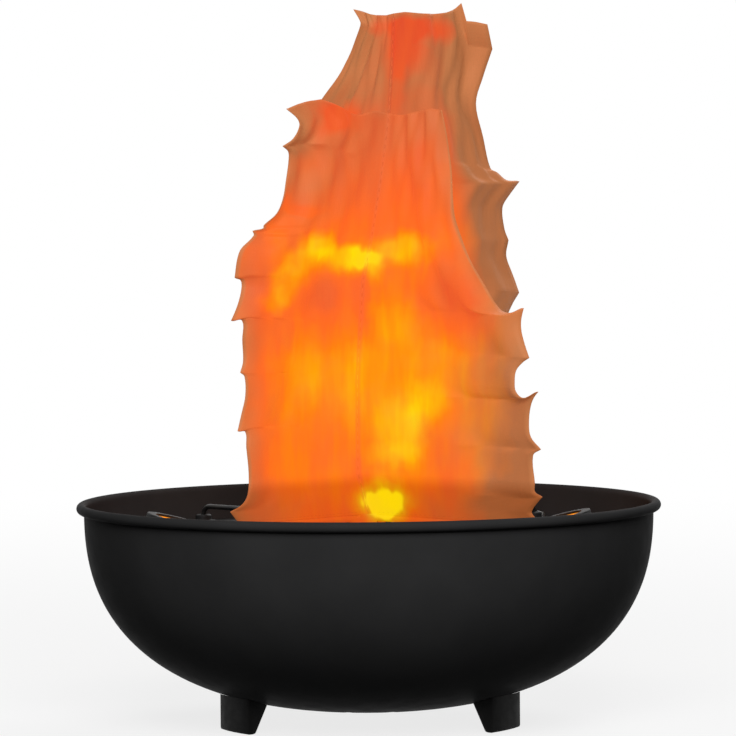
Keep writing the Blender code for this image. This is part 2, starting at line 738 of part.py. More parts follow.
def make_fan_frame(plastic):
    """The fan's frame: two flanges joined by the duct, with struts that carry the motor mount and bearing tube."""
    bottom = FAN_TOP - FAN_DEPTH
    outer = min(FAN_BORE + FAN_DUCT_WALL, FAN_SIZE / 2)
    duct = ring("duct", FAN_BORE, outer, bottom + 0.0002, FAN_TOP - 0.0002, 32)
    low = fan_flange("low_flange", bottom, bottom + FAN_FLANGE)
    high = fan_flange("high_flange", FAN_TOP - FAN_FLANGE, FAN_TOP)
    disc_top = FAN_TOP - MOUNT_INSET
    disc_low = disc_top - MOUNT_SHEET
    bore = BEARING_RADIUS + SEAT_GAP
    tube_end = disc_low - BEARING_LENGTH - 2 * SEAT_GAP
    mount = turned("mount", [
        (0.0, disc_low),
        (bore, disc_low),
        (bore, tube_end),
        (bore + BEARING_TUBE_WALL, tube_end),
        (bore + BEARING_TUBE_WALL, disc_low),
        (MOUNT_RADIUS, disc_low),
        (MOUNT_RADIUS, disc_top),
        (0.0, disc_top),
    ][::-1], 20)
    struts = []
    length = FAN_BORE + FAN_DUCT_WALL / 2 - MOUNT_RADIUS + 0.001
    middle = MOUNT_RADIUS - 0.001 + length / 2
    for azimuth in LAMP_AZIMUTHS:
        centre = (0, -middle, disc_top - 0.0002 - FAN_STRUT_DEPTH / 2)
        strut = box("strut", (FAN_STRUT_WIDTH, length, FAN_STRUT_DEPTH), centre)
        struts.append(place(strut, turn(azimuth)))
    struts = grouped("struts", struts)
    show(joined("fan_frame", [duct, low, high, struts, mount]), plastic)


def blade_points(columns, rows):
    """The mid-surface of one blade: it twists from steep at the hub to shallow at the tip, and is cambered."""
    tip = FAN_BORE - BLADE_TIP_GAP
    root = HUB_RADIUS - HUB_WALL / 2
    middle = FAN_TOP - FAN_DEPTH / 2 - 0.0012
    points = []
    for j in range(rows + 1):
        out = j / rows
        radius = blend(root, tip, out)
        pitch = blend(*BLADE_PITCHES, out)
        chord = blend(*BLADE_CHORDS, out)
        for i in range(columns + 1):
            share = i / columns - 0.5
            camber = BLADE_CAMBER * (1 - 4 * share * share)
            along = share * chord * math.cos(pitch) + camber * math.sin(pitch)
            rise = share * chord * math.sin(pitch) - camber * math.cos(pitch)
            angle = along / radius + BLADE_SWEEP * out
            points.append((radius * math.sin(angle), -radius * math.cos(angle), middle + rise))
    return points


def make_blades():
    """The seven blades as separate closed sheets."""
    columns, rows = 3, 3
    points = blade_points(columns, rows)
    blades = []
    for k in range(BLADES):
        bm = bmesh.new()
        bmesh.ops.create_grid(bm, x_segments=columns, y_segments=rows, size=1)
        order = sorted(bm.verts, key=lambda vert: (round(vert.co.y, 4), round(vert.co.x, 4)))
        for vert, point in zip(order, points):
            vert.co = Vector(point)
        blade = mesh_object("blade", bm)
        solidify = blade.modifiers.new("sheet", "SOLIDIFY")
        solidify.thickness = BLADE_SHEET
        solidify.offset = 0.0
        bpy.context.view_layer.update()
        blades.append(place(baked(blade), turn(2 * math.pi * k / BLADES)))
    return grouped("blades", blades)


def make_rotor(plastic, steel, magnet_grey):
    """The fan's wheel: a hub cup with blades, the ring magnet inside it and the shaft."""
    mount_low = FAN_TOP - MOUNT_INSET - MOUNT_SHEET
    hub_top = mount_low - HUB_TOP_GAP
    hub_low = FAN_TOP - FAN_DEPTH + HUB_INSET
    floor = hub_low + HUB_FLOOR
    boss = SHAFT_RADIUS + SEAT_GAP
    boss_top = floor + 0.0040
    hub = turned("hub", [
        (0.0, floor),
        (boss, floor),
        (boss, boss_top),
        (boss + 0.0012, boss_top),
        (boss + 0.0012, floor),
        (HUB_RADIUS - HUB_WALL, floor),
        (HUB_RADIUS - HUB_WALL, hub_top),
        (HUB_RADIUS, hub_top),
        (HUB_RADIUS, hub_low + 0.0012),
        (HUB_RADIUS - 0.0012, hub_low),
        (0.0, hub_low),
    ], 24)
    rotor = show(joined("fan_rotor", [hub, make_blades()]), plastic)
    shaft = rod("fan_shaft", SHAFT_RADIUS, floor + SEAT_GAP, mount_low - SEAT_GAP, 12)
    show(shaft, steel)
    outer = HUB_RADIUS - HUB_WALL - SEAT_GAP
    magnet = ring("fan_magnet", outer - MAGNET_WALL, outer, floor + SEAT_GAP, hub_top - 0.0040, 24)
    show(magnet, magnet_grey)
    return rotor


def make_motor(copper, brass, board_green):
    """What stands still inside the hub: the bearing, the wound stator and the board."""
    mount_low = FAN_TOP - MOUNT_INSET - MOUNT_SHEET
    bearing = ring(
        "fan_bearing", SHAFT_RADIUS + SEAT_GAP, BEARING_RADIUS, mount_low - SEAT_GAP - BEARING_LENGTH,
        mount_low - SEAT_GAP, 16,
    )
    show(bearing, brass)
    inner = BEARING_RADIUS + SEAT_GAP + BEARING_TUBE_WALL + SEAT_GAP
    board = ring("fan_board", inner, STATOR_RADIUS, mount_low - 0.0014, mount_low - SEAT_GAP, 16)
    show(board, board_green)
    top = mount_low - 0.0014 - SEAT_GAP
    low = top - STATOR_HEIGHT
    pole = 0.0058
    yoke = ring("yoke", inner, inner + 0.0022, low, top, 16)
    arms = []
    for azimuth in LAMP_AZIMUTHS:
        arm = box("arm", (pole, STATOR_RADIUS - inner - 0.0015, STATOR_HEIGHT - 0.0012),
                  (0, -(inner + STATOR_RADIUS) / 2, (low + top) / 2))
        shoe = box("shoe", (1.6 * pole, 0.0016, STATOR_HEIGHT - 0.0024),
                   (0, -(STATOR_RADIUS - 0.0018), (low + top) / 2))
        arms += [place(arm, turn(azimuth)), place(shoe, turn(azimuth))]
    show(joined("fan_stator", [yoke] + arms), copper)


def make_guard(steel):
    """The wire guard: rings on four spokes, each ending in an eye under a fan screw."""
    plane = DECK_HEIGHT + GUARD_HEIGHT
    rings = [torus("guard_ring", radius, GUARD_WIRE, plane, 12 + 4 * k) for k, radius in enumerate(GUARD_RINGS)]
    spoke_height = plane - 2 * GUARD_WIRE + GUARD_WELD
    eye_low = DECK_HEIGHT + SEAT_GAP
    foot_height = eye_low + GUARD_EYE_SHEET / 2
    spokes = []
    eyes = []
    for azimuth in ROD_AZIMUTHS:
        route = [
            (GUARD_RINGS[0] - 2 * GUARD_WIRE, spoke_height),
            (GUARD_RINGS[-1] + 3 * GUARD_WIRE, spoke_height),
            (GUARD_RINGS[-1] + 8 * GUARD_WIRE, foot_height),
            (FAN_SCREW_CIRCLE - 0.7 * GUARD_EYE_RADIUS, foot_height),
        ]
        points = [at(azimuth, radius, height) for radius, height in route]
        spokes.append(tube("guard_spoke", points, 0.9 * GUARD_WIRE, 1))
        centre = flat(azimuth, FAN_SCREW_CIRCLE)
        hole = circle_points(FAN_SCREW_SHANK + SCREW_GAP, 8, centre)
        outline = circle_points(GUARD_EYE_RADIUS, 12, centre)
        eyes.append(plate("guard_eye", [outline, hole], eye_low, eye_low + GUARD_EYE_SHEET))
    parts = [grouped("guard_rings", rings), grouped("guard_spokes", spokes), grouped("guard_eyes", eyes)]
    show(joined("fan_guard", parts), steel)


def make_fan_screws(steel):
    """The four screws through the guard's eyes and the deck, which cut their own thread in the fan's flange."""
    seat = DECK_HEIGHT + SEAT_GAP + GUARD_EYE_SHEET
    for k, azimuth in enumerate(ROD_AZIMUTHS):
        screw = pan_screw(f"fan_screw_{k + 1}", FAN_SCREW_HEAD, 0.0026, FAN_SCREW_SHANK, FAN_SCREW_LENGTH)
        show(place(screw, Matrix.Translation(at(azimuth, FAN_SCREW_CIRCLE, seat))), steel)


# Lamps


def lamp_frame(azimuth):
    """The frame of a lamp: its origin is on the deck's top and Z runs along the beam, leaning to the middle."""
    stand = Matrix.Translation((0, -LAMP_CIRCLE, DECK_HEIGHT))
    return turn(azimuth) @ stand @ Matrix.Rotation(-LAMP_TILT, 4, "X")


LENS_TOP = LAMP_COLLAR_TOP - LAMP_LIP - SEAT_GAP
LENS_LOW = LENS_TOP - LAMP_LENS_DEPTH
BOARD_TOP = LENS_LOW - SEAT_GAP
BOARD_LOW = BOARD_TOP - LAMP_BOARD_SHEET
SINK_TOP = BOARD_LOW - SEAT_GAP
SINK_LOW = SINK_TOP - LAMP_SINK_LENGTH


def make_collar(name, azimuth, plastic):
    """The moulded collar that holds one lamp: a base on the deck and a tilted sleeve with a lip."""
    low = DECK_HEIGHT + SEAT_GAP
    base = rod("base", LAMP_BASE_RADIUS, low, low + LAMP_BASE_SHEET, 20)
    base = place(base, turn(azimuth) @ Matrix.Translation((0, -LAMP_CIRCLE, 0)))
    sleeve = rod("sleeve", LAMP_COLLAR_RADIUS, -LAMP_COLLAR_DROP, LAMP_COLLAR_TOP, 16)
    collar = joined(name, [base, place(sleeve, lamp_frame(azimuth))])
    bore = rod("collar_bore_cutter", LAMP_BORE, -2 * LAMP_SINK_LENGTH, LAMP_COLLAR_TOP - LAMP_LIP, 16)
    mouth = rod("collar_mouth_cutter", LAMP_BORE - LAMP_LIP_WIDTH, 0.0, 2 * LAMP_COLLAR_TOP, 16)
    cutter = joined("collar_cutter", [bore, mouth])
    collar = boolean(collar, place(cutter, lamp_frame(azimuth)))
    holes = []
    for side in (-1, 1):
        hole = rod("hole", LAMP_SCREW_SHANK + SCREW_GAP, DECK_HEIGHT - 0.005, DECK_HEIGHT + 0.005, 8)
        holes.append(place(hole, turn(azimuth) @ Matrix.Translation((side * LAMP_SCREW_OFFSET, -LAMP_CIRCLE, 0))))
    collar = boolean(collar, grouped("collar_hole_cutter", holes))
    collar.name = name
    return show(collar, plastic)


def fin_outline():
    """The heat sink's section: a core with fins all round."""
    points = []
    step = 2 * math.pi / LAMP_FINS
    root = LAMP_RADIUS - LAMP_FIN_DEPTH
    for k in range(LAMP_FINS):
        for radius, share in ((root, -0.5), (root, -0.24), (LAMP_RADIUS, -0.17), (LAMP_RADIUS, 0.17), (root, 0.24)):
            angle = step * (k + share)
            points.append((radius * math.cos(angle), radius * math.sin(angle)))
    return points


def make_lamps(plastic, aluminium, board_green, amber):
    """The four lamps: collar, heat sink, board with its emitter, and amber lens."""
    for k, azimuth in enumerate(LAMP_AZIMUTHS):
        number = k + 1
        frame = lamp_frame(azimuth)
        make_collar(f"lamp_collar_{number}", azimuth, plastic)
        sink = place(plate(f"lamp_heat_sink_{number}", [fin_outline()], SINK_LOW, SINK_TOP), frame)
        show(sink, aluminium)
        emitter = 0.0030
        board = turned(f"lamp_board_{number}", [
            (0.0, BOARD_TOP + emitter),
            (0.6 * emitter, BOARD_TOP + 0.8 * emitter),
            (emitter, BOARD_TOP + 0.2 * emitter),
            (emitter, BOARD_TOP),
            (0.86 * LAMP_RADIUS, BOARD_TOP),
            (0.86 * LAMP_RADIUS, BOARD_LOW),
            (0.0, BOARD_LOW),
        ], 12)
        show(place(board, frame), board_green)
        well = emitter + 0.0006
        lens = turned(f"lamp_lens_{number}", [
            (0.0, LENS_TOP),
            (LAMP_RADIUS, LENS_TOP),
            (LAMP_RADIUS, LENS_TOP - 0.0012),
            (0.90 * LAMP_RADIUS, LENS_TOP - 0.0012),
            (0.60 * LAMP_RADIUS, LENS_LOW),
            (well, LENS_LOW),
            (well, LENS_LOW + well),
            (0.0, LENS_LOW + well),
        ], 16)
        show(place(lens, frame), amber)


# Silk frame and silk


def rod_route(azimuth, dip):
    """A rod's line: up out of one socket, across the bowl and down into the opposite one, with a dip at the middle."""
    foot = DECK_HEIGHT - SOCKET_DROP + SOCKET_FLOOR + SEAT_GAP
    half = [(ROD_REACH, foot), (ROD_REACH, ROD_HEIGHT - ROD_BEND)]
    for k in (1, 2, 3):
        a = math.pi / 2 * k / 3
        half.append((ROD_REACH - ROD_BEND * (1 - math.cos(a)), ROD_HEIGHT - ROD_BEND * (1 - math.sin(a))))
    half += [(0.0140, ROD_HEIGHT), (0.0070, ROD_HEIGHT - dip)]
    out = [at(azimuth, radius, height) for radius, height in half]
    back = [at(azimuth + math.pi, radius, height) for radius, height in reversed(half)]
    return out + back


def make_silk_frame(steel, plastic):
    """The two crossed rods and the four sockets that hold their ends in the deck."""
    crossing = 2 * ROD_RADIUS + SEAT_GAP
    show(tube("silk_rod_upper", rod_route(ROD_AZIMUTHS[0], 0.0), ROD_RADIUS, 2), steel)
    show(tube("silk_rod_lower", rod_route(ROD_AZIMUTHS[1], crossing), ROD_RADIUS, 2), steel)
    bore = ROD_RADIUS + SEAT_GAP
    for k, azimuth in enumerate(ROD_AZIMUTHS):
        socket = turned(f"rod_socket_{k + 1}", [
            (0.0, DECK_HEIGHT - SOCKET_DROP + SOCKET_FLOOR),
            (bore, DECK_HEIGHT - SOCKET_DROP + SOCKET_FLOOR),
            (bore, DECK_HEIGHT + SOCKET_TOP),
            (0.75 * SOCKET_RADIUS, DECK_HEIGHT + SOCKET_TOP),
            (SOCKET_RADIUS, DECK_HEIGHT + SOCKET_TOP - 0.0010),
            (SOCKET_RADIUS, DECK_HEIGHT + SEAT_GAP + SOCKET_FLANGE_SHEET),
            (SOCKET_FLANGE, DECK_HEIGHT + SEAT_GAP + SOCKET_FLANGE_SHEET),
            (SOCKET_FLANGE, DECK_HEIGHT + SEAT_GAP),
            (SOCKET_RADIUS, DECK_HEIGHT + SEAT_GAP),
            (SOCKET_RADIUS, DECK_HEIGHT - SOCKET_DROP),
            (0.0, DECK_HEIGHT - SOCKET_DROP),
        ], 10)
        show(place(socket, Matrix.Translation(at(azimuth, ROD_REACH, 0))), plastic)


SILK_FOOT = ROD_HEIGHT + ROD_RADIUS + SEAT_GAP


def seam_offset(height):
    """How far the seam stands to the right of Z at a height above the rods."""
    line = np.array(SEAM_LINE) * FLAME_UNIT
    return np.interp(height, line[:, 0], line[:, 1])


def along_edge(edge):
    """How far along its edge each point is, from 0 to 1."""
    steps = np.hypot(*np.diff(edge, axis=0).T)
    return np.concatenate([[0.0], np.cumsum(steps)]) / steps.sum()


def fold_push(out, up, width, phase):
    """How far the folds push a wing sideways: a wave across it that turns as it rises and grows from the rod."""
    wave = np.sin(2 * math.pi * FOLDS_PER_WING * out + FOLD_TWIST * math.pi * up + phase)
    return FOLD_DEPTH * wave * out * (0.25 + 0.75 * out) * np.sqrt(up) * width


def wing_grid(edge, top, seam_top, rows, azimuth, side, phase):
    """One wing's points, row by row from the rod up and from the seam out.

    Each row runs from the seam to a point of the free edge, straight but for the top's own line, which counts more
    the higher the row. The spread of a row is what its edge point takes to be seen where the outline says.
    """
    edge = np.array(edge) * FLAME_UNIT
    out = np.linspace(0, 1, WING_COLUMNS)[None, :]
    up = rows[:, None]
    sine, cosine = math.sin(azimuth), math.cos(azimuth)
    offset = seam_offset(edge[:, 1])
    width = np.abs(edge[:, :1] - offset[:, None]) / (FOLD_WIDTH * FLAME_UNIT)
    push = fold_push(out, up, width, phase)
    spread = (edge[:, 0] - offset - push[:, -1] * cosine) / sine
    reach = out * spread[:, None]
    height = (1 - out) * up * seam_top * FLAME_UNIT + out * edge[:, 1:] + up * np.array(top)[None, :] * FLAME_UNIT
    x = seam_offset(height) + reach * sine + push * cosine
    y = side * SEAM_HALF_GAP - reach * cosine + push * sine
    return np.stack([x, y, SILK_FOOT + height], axis=2)


def make_sheet(name, left, right, side, silk):
    """One silk sheet: a left and a right wing that meet at the seam, given the cloth's thickness."""
    rows = (along_edge(left[0]) + along_edge(right[0])) / 2
    left_grid = wing_grid(left[0], left[1], left[2], rows, left[3], side, left[4])
    right_grid = wing_grid(right[0], right[1], right[2], rows, right[3], side, right[4])
    points = np.concatenate([left_grid[:, :0:-1], right_grid], axis=1)
    count_up, count_across = points.shape[:2]
    bm = bmesh.new()
    bmesh.ops.create_grid(bm, x_segments=count_across - 1, y_segments=count_up - 1, size=1)
    order = sorted(bm.verts, key=lambda vert: (round(vert.co.y, 4), round(vert.co.x, 4)))
    for vert, point in zip(order, points.reshape(-1, 3)):
        vert.co = Vector(point)
    sheet = mesh_object(name, bm, 180)
    solidify = sheet.modifiers.new("cloth", "SOLIDIFY")
    solidify.thickness = SILK_SHEET
    solidify.offset = 0.0
    bpy.context.view_layer.update()
    return show(baked(sheet), silk)


def make_silk(silk):
    """The flame: a shorter sheet in front and a taller one behind, sewn along the seam."""
    make_sheet(
        "silk_front",
        (FRONT_LEFT_EDGE, FRONT_LEFT_TOP, FRONT_SEAM_TOP, ROD_AZIMUTHS[3], 0.3),
        (FRONT_RIGHT_EDGE, FRONT_RIGHT_TOP, FRONT_SEAM_TOP, ROD_AZIMUTHS[0], 2.2),
        -1,
        silk,
    )
    make_sheet(
        "silk_back",
        (BACK_LEFT_EDGE, BACK_LEFT_TOP, BACK_SEAM_TOP, ROD_AZIMUTHS[2], 1.2),
        (BACK_RIGHT_EDGE, BACK_RIGHT_TOP, BACK_SEAM_TOP, ROD_AZIMUTHS[1], 3.6),
        1,
        silk,
    )


# Controls on the rear wall


def make_switch(plastic, rocker_plastic):
    """The power switch: a housing with a pocket and a rocker on two pivots, stored switched on."""
    frame = wall_frame(SWITCH_AZIMUTH, CONTROL_HEIGHT)
    seat = CONTROL_SEAT
    flange = box("flange", SWITCH_FLANGE, (0, 0, seat + SWITCH_FLANGE[2] / 2))
    bevel = flange.modifiers.new("round", "BEVEL")
    bevel.width = 0.0006
    bevel.segments = 1
    bpy.context.view_layer.update()
    flange = baked(flange)
    body_length = SWITCH_BODY[2] + 0.001
    body = box("body", (SWITCH_BODY[0], SWITCH_BODY[1], body_length), (0, 0, seat + 0.001 - body_length / 2))
    housing = joined("switch_housing", [flange, body])
    face = seat + SWITCH_FLANGE[2]
    pocket = box("pocket", (SWITCH_POCKET[0], SWITCH_POCKET[1], 2 * SWITCH_POCKET[2]), (0, 0, face))
    pivot_height = face - ROCKER_PIVOT_DEPTH
    sideways = Matrix.Translation((0, 0, pivot_height)) @ Matrix.Rotation(math.pi / 2, 4, "Y")
    half = SWITCH_POCKET[0] / 2 + PIVOT_REACH
    hole = place(rod("pivot_hole", PIVOT_RADIUS + SEAT_GAP, -half, half, 12), sideways)
    housing = boolean(housing, joined("pocket_cutter", [pocket, hole]))
    housing.name = "switch_housing"
    show(place(housing, frame), plastic)
    half_length = ROCKER_SIZE[1] / 2
    section = [
        (-half_length, ROCKER_CROWN),
        (0.0, ROCKER_CROWN - half_length * math.tan(ROCKER_TILT)),
        (half_length, ROCKER_CROWN),
        (half_length - 0.0002, 0.0),
        (0.42 * half_length, -ROCKER_DROP),
        (-0.42 * half_length, -ROCKER_DROP),
        (-half_length + 0.0002, 0.0),
    ]
    paddle = plate("paddle", [section], -ROCKER_SIZE[0] / 2, ROCKER_SIZE[0] / 2)
    upright = Matrix(((0, 0, 1, 0), (1, 0, 0, 0), (0, 1, 0, 0), (0, 0, 0, 1)))
    paddle = place(paddle, upright)
    reach = SWITCH_POCKET[0] / 2 + PIVOT_REACH - SEAT_GAP
    pins = place(rod("pins", PIVOT_RADIUS, -reach, reach, 10), Matrix.Rotation(math.pi / 2, 4, "Y"))
    rocker = joined("switch_rocker", [paddle, pins])
    rocker = show(place(rocker, Matrix.Rotation(-ROCKER_TILT, 4, "X")), rocker_plastic)
    rocker.matrix_world = frame @ Matrix.Translation((0, 0, pivot_height))
    return rocker


def make_supply_socket(plastic, steel):
    """The low-voltage socket: a flanged barrel through the wall with a pin in its bore, and its nut."""
    frame = wall_frame(SUPPLY_AZIMUTH, CONTROL_HEIGHT)
    flange_low = CONTROL_SEAT
    face = flange_low + SUPPLY_FLANGE_SHEET
    floor = face - SUPPLY_BORE_DEPTH
    end = face - SUPPLY_LENGTH
    socket = turned("supply_socket", [
        (0.0, face - SUPPLY_PIN_RECESS),
        (0.7 * SUPPLY_PIN, face - SUPPLY_PIN_RECESS),
        (SUPPLY_PIN, face - SUPPLY_PIN_RECESS - 0.0006),
        (SUPPLY_PIN, floor),
        (SUPPLY_BORE, floor),
        (SUPPLY_BORE, face - 0.0004),
        (SUPPLY_BORE + 0.0004, face),
        (SUPPLY_FLANGE - 0.0005, face),
        (SUPPLY_FLANGE, face - 0.0005),
        (SUPPLY_FLANGE, flange_low),
        (SUPPLY_BARREL, flange_low),
        (SUPPLY_BARREL, end),
        (0.0, end),
    ], 16)
    show(place(socket, frame), plastic)
    nut_top = -BOWL_WALL - SUPPLY_NUT_STANDOFF
    outlines = [circle_points(SUPPLY_NUT_RADIUS, 6), circle_points(SUPPLY_BARREL + SEAT_GAP, 16)]
    nut = plate("supply_nut", outlines, nut_top - SUPPLY_NUT_SHEET, nut_top)
    show(place(nut, frame), steel)


# Driver and leads


DRIVER_TOP = DECK_BOTTOM - SEAT_GAP - DRIVER_PILLAR
DRIVER_LOW = DRIVER_TOP - DRIVER_SIZE[2]


def make_driver(plastic):
    """The potted driver on two pillars under the deck."""
    case = box("case", DRIVER_SIZE, (0, -DRIVER_CIRCLE, (DRIVER_TOP + DRIVER_LOW) / 2))
    bevel = case.modifiers.new("round", "BEVEL")
    bevel.width = 0.0015
    bevel.segments = 1
    bpy.context.view_layer.update()
    pieces = [baked(case)]
    holes = []
    for side in (-1, 1):
        spot = Vector((side * DRIVER_SCREW_OFFSET, -DRIVER_CIRCLE, 0))
        pillar = rod("pillar", DRIVER_PILLAR_RADIUS, DRIVER_TOP - 0.002, DRIVER_TOP + DRIVER_PILLAR, 14)
        pieces.append(place(pillar, Matrix.Translation(spot)))
        hole = rod("hole", DRIVER_SCREW_SHANK + SCREW_GAP, DRIVER_TOP + 0.0005, DECK_HEIGHT, 10)
        holes.append(place(hole, Matrix.Translation(spot)))
    driver = boolean(joined("lamp_driver", pieces), grouped("driver_hole_cutter", holes))
    driver.name = "lamp_driver"
    show(place(driver, turn(DRIVER_AZIMUTH)), plastic)


def smooth_route(stations):
    """Points a lead's step apart along a smooth curve through the stations."""
    stations = np.array([list(point) for point in stations])
    lengths = np.linalg.norm(np.diff(stations, axis=0), axis=1)
    knots = np.concatenate([[0.0], np.cumsum(lengths)])
    slopes = np.gradient(stations, knots, axis=0)
    count = max(3, math.ceil(knots[-1] / LEAD_STEP))
    points = []
    for along in np.linspace(0, knots[-1], count + 1):
        k = min(int(np.searchsorted(knots, along, side="right")) - 1, len(knots) - 2)
        span = knots[k + 1] - knots[k]
        s = (along - knots[k]) / span
        start, end = (2 * s**3 - 3 * s**2 + 1), (3 * s**2 - 2 * s**3)
        rise, fall = (s**3 - 2 * s**2 + s) * span, (s**3 - s**2) * span
        points.append(start * stations[k] + end * stations[k + 1] + rise * slopes[k] + fall * slopes[k + 1])
    return points


def lamp_tail(azimuth):
    """Where a lead meets the back of a lamp's heat sink, and a point straight behind it."""
    frame = lamp_frame(azimuth)
    return [frame @ Vector((0, 0, SINK_LOW - drop)) for drop in (0.0050, SEAT_GAP)]


def driver_end(sideways, inward):
    """Where a lead meets the driver's underside, and a point straight below it."""
    spot = turn(DRIVER_AZIMUTH) @ Vector((sideways, -DRIVER_CIRCLE + inward, 0))
    return [Vector((spot.x, spot.y, DRIVER_LOW - SEAT_GAP - drop)) for drop in (0.0, 0.005)]


def make_control_leads(insulation):
    """The lead from the socket to the switch and the one from the switch to the driver."""
    ring_height = DECK_HEIGHT - LEAD_DROP
    socket = wall_frame(SUPPLY_AZIMUTH, CONTROL_HEIGHT)
    socket_back = CONTROL_SEAT + SUPPLY_FLANGE_SHEET - SUPPLY_LENGTH - SEAT_GAP
    switch = wall_frame(SWITCH_AZIMUTH, CONTROL_HEIGHT)
    switch_back = CONTROL_SEAT - SWITCH_BODY[2] - SEAT_GAP
    middle = (SUPPLY_AZIMUTH + SWITCH_AZIMUTH) / 2
    low = ring_height + 0.003
    supply = [
        socket @ Vector((0, 0, socket_back)),
        socket @ Vector((0, 0, socket_back - 0.006)),
        at(blend(SUPPLY_AZIMUTH, middle, 0.5), LEAD_CIRCLE + 0.006, low),
        at(blend(SWITCH_AZIMUTH, middle, 0.5), LEAD_CIRCLE + 0.006, low),
        switch @ Vector((0, 0.004, switch_back - 0.006)),
        switch @ Vector((0, 0.004, switch_back)),
    ]
    show(tube("supply_lead", smooth_route(supply), LEAD_RADIUS), insulation)
    switched = [
        switch @ Vector((0, -0.005, switch_back)),
        switch @ Vector((0, -0.005, switch_back - 0.006)),
        at(middle - math.radians(6), DRIVER_CIRCLE - 0.001, ring_height - 0.006),
        at(middle + math.radians(10), DRIVER_CIRCLE - 0.003, ring_height - 0.007),
        *reversed(driver_end(-0.020, 0.004)),
    ]
    show(tube("switch_lead", smooth_route(switched), LEAD_RADIUS), insulation)


def make_fan_lead(insulation):
    """The lead from the driver to the underside of the fan's near corner."""
    azimuth = DRIVER_AZIMUTH - math.radians(9)
    corner = at(azimuth, FAN_SIZE / 2 + 0.004, FAN_TOP - FAN_DEPTH)
    route = [
        *driver_end(-0.006, 0.008),
        at(blend(DRIVER_AZIMUTH, azimuth, 0.67), DRIVER_CIRCLE - FAN_LEAD_INSET, DECK_HEIGHT - LEAD_DROP - 0.002),
        corner + Vector((0, 0, -0.006)),
        corner + Vector((0, 0, -SEAT_GAP)),
    ]
    show(tube("fan_lead", smooth_route(route), LEAD_RADIUS), insulation)


def make_lamp_harness(insulation):
    """The harness that feeds the four lamps: two runs from a sleeve at the driver, one each way round the fan."""
    height = DECK_HEIGHT - LEAD_DROP - 0.004
    reach = DRIVER_CIRCLE + HARNESS_OFFSET
    start = driver_end(0.010, -0.004)
    sleeve = rod("sleeve", 2.4 * LEAD_RADIUS, start[0].z - 0.007, start[0].z, 14)
    pieces = [place(sleeve, Matrix.Translation((start[0].x, start[0].y, 0)))]
    low = [start[0] - Vector((0, 0, drop)) for drop in (0.004, 0.008)]
    for goals in ([LAMP_AZIMUTHS[2]], [LAMP_AZIMUTHS[3], 2 * math.pi, 2 * math.pi + LAMP_AZIMUTHS[1]]):
        run = list(low)
        last = DRIVER_AZIMUTH
        for k, goal in enumerate(goals):
            final = k == len(goals) - 1
            steps = max(2, round(abs(goal - last) / math.radians(22)))
            stop = steps if final else steps + 1
            for j in range(1, stop):
                run.append(at(blend(last, goal, j / steps), reach, height))
            if not final:
                split = at(blend(last, goal, (steps - 1) / steps), reach, height)
                tail = lamp_tail(goal)
                pieces.append(tube("branch", smooth_route([split, *tail]), 0.85 * LEAD_RADIUS))
            last = goal
        pieces.append(tube("run", smooth_route(run + lamp_tail(goals[-1])), LEAD_RADIUS))
    show(joined("lamp_harness", pieces), insulation)


def main():
    """Builds the light, sub-assembly by sub-assembly."""
    clear_scene()
    black_paint = finish("black_paint", (0.020, 0.020, 0.021), 0.42)
    black_plastic = finish("black_plastic", (0.022, 0.022, 0.022), 0.50)
    zinc = finish("zinc", (0.55, 0.56, 0.58), 0.35, 1.0)
    wire_steel = finish("wire_steel", (0.42, 0.43, 0.45), 0.38, 1.0)
    aluminium = finish("aluminium", (0.62, 0.63, 0.65), 0.40, 1.0)
    brass = finish("brass", (0.72, 0.53, 0.25), 0.35, 1.0)
    copper = finish("copper", (0.60, 0.26, 0.12), 0.40, 1.0)
    ferrite = finish("ferrite", (0.09, 0.09, 0.10), 0.60)
    board_green = finish("board_green", (0.03, 0.16, 0.08), 0.45)
    amber = finish("amber_lens", (0.95, 0.42, 0.03), 0.12)
    silk = finish("silk", (0.95, 0.38, 0.06), 0.70)
    rocker_black = finish("rocker_black", (0.030, 0.030, 0.030), 0.30)
    insulation = finish("insulation", (0.10, 0.10, 0.11), 0.45)
    make_bowl(black_paint)
    make_feet(black_plastic, zinc)
    make_deck(black_paint, zinc)
    make_fan_frame(black_plastic)
    make_rotor(black_plastic, zinc, ferrite)
    make_motor(copper, brass, board_green)
    make_guard(wire_steel)
    make_fan_screws(zinc)
    make_lamps(black_plastic, aluminium, board_green, amber)
    make_silk_frame(wire_steel, black_plastic)
    make_silk(silk)
    make_switch(black_plastic, rocker_black)
    make_supply_socket(black_plastic, zinc)
    make_driver(black_plastic)
    make_control_leads(insulation)
    make_fan_lead(insulation)
    make_lamp_harness(insulation)


main()
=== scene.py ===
"""The looks of a flame effect light: lit silk blown up by a fan, in a black bowl on three feet.

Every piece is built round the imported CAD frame, in metres, with +Z up and the origin on the floor under the
bowl's centre. An azimuth is an angle round Z seen from above: 0 is the front, which faces -Y, and a quarter
turn is the right-hand side, +X. Pieces are worked out as numpy surfaces and ride on the frame's bodies.
"""

import json
import logging
import math
from dataclasses import dataclass
from enum import Enum
from typing import Any, ClassVar, Sequence

import bmesh
import bpy
import numpy as np
from mathutils import Matrix, Vector

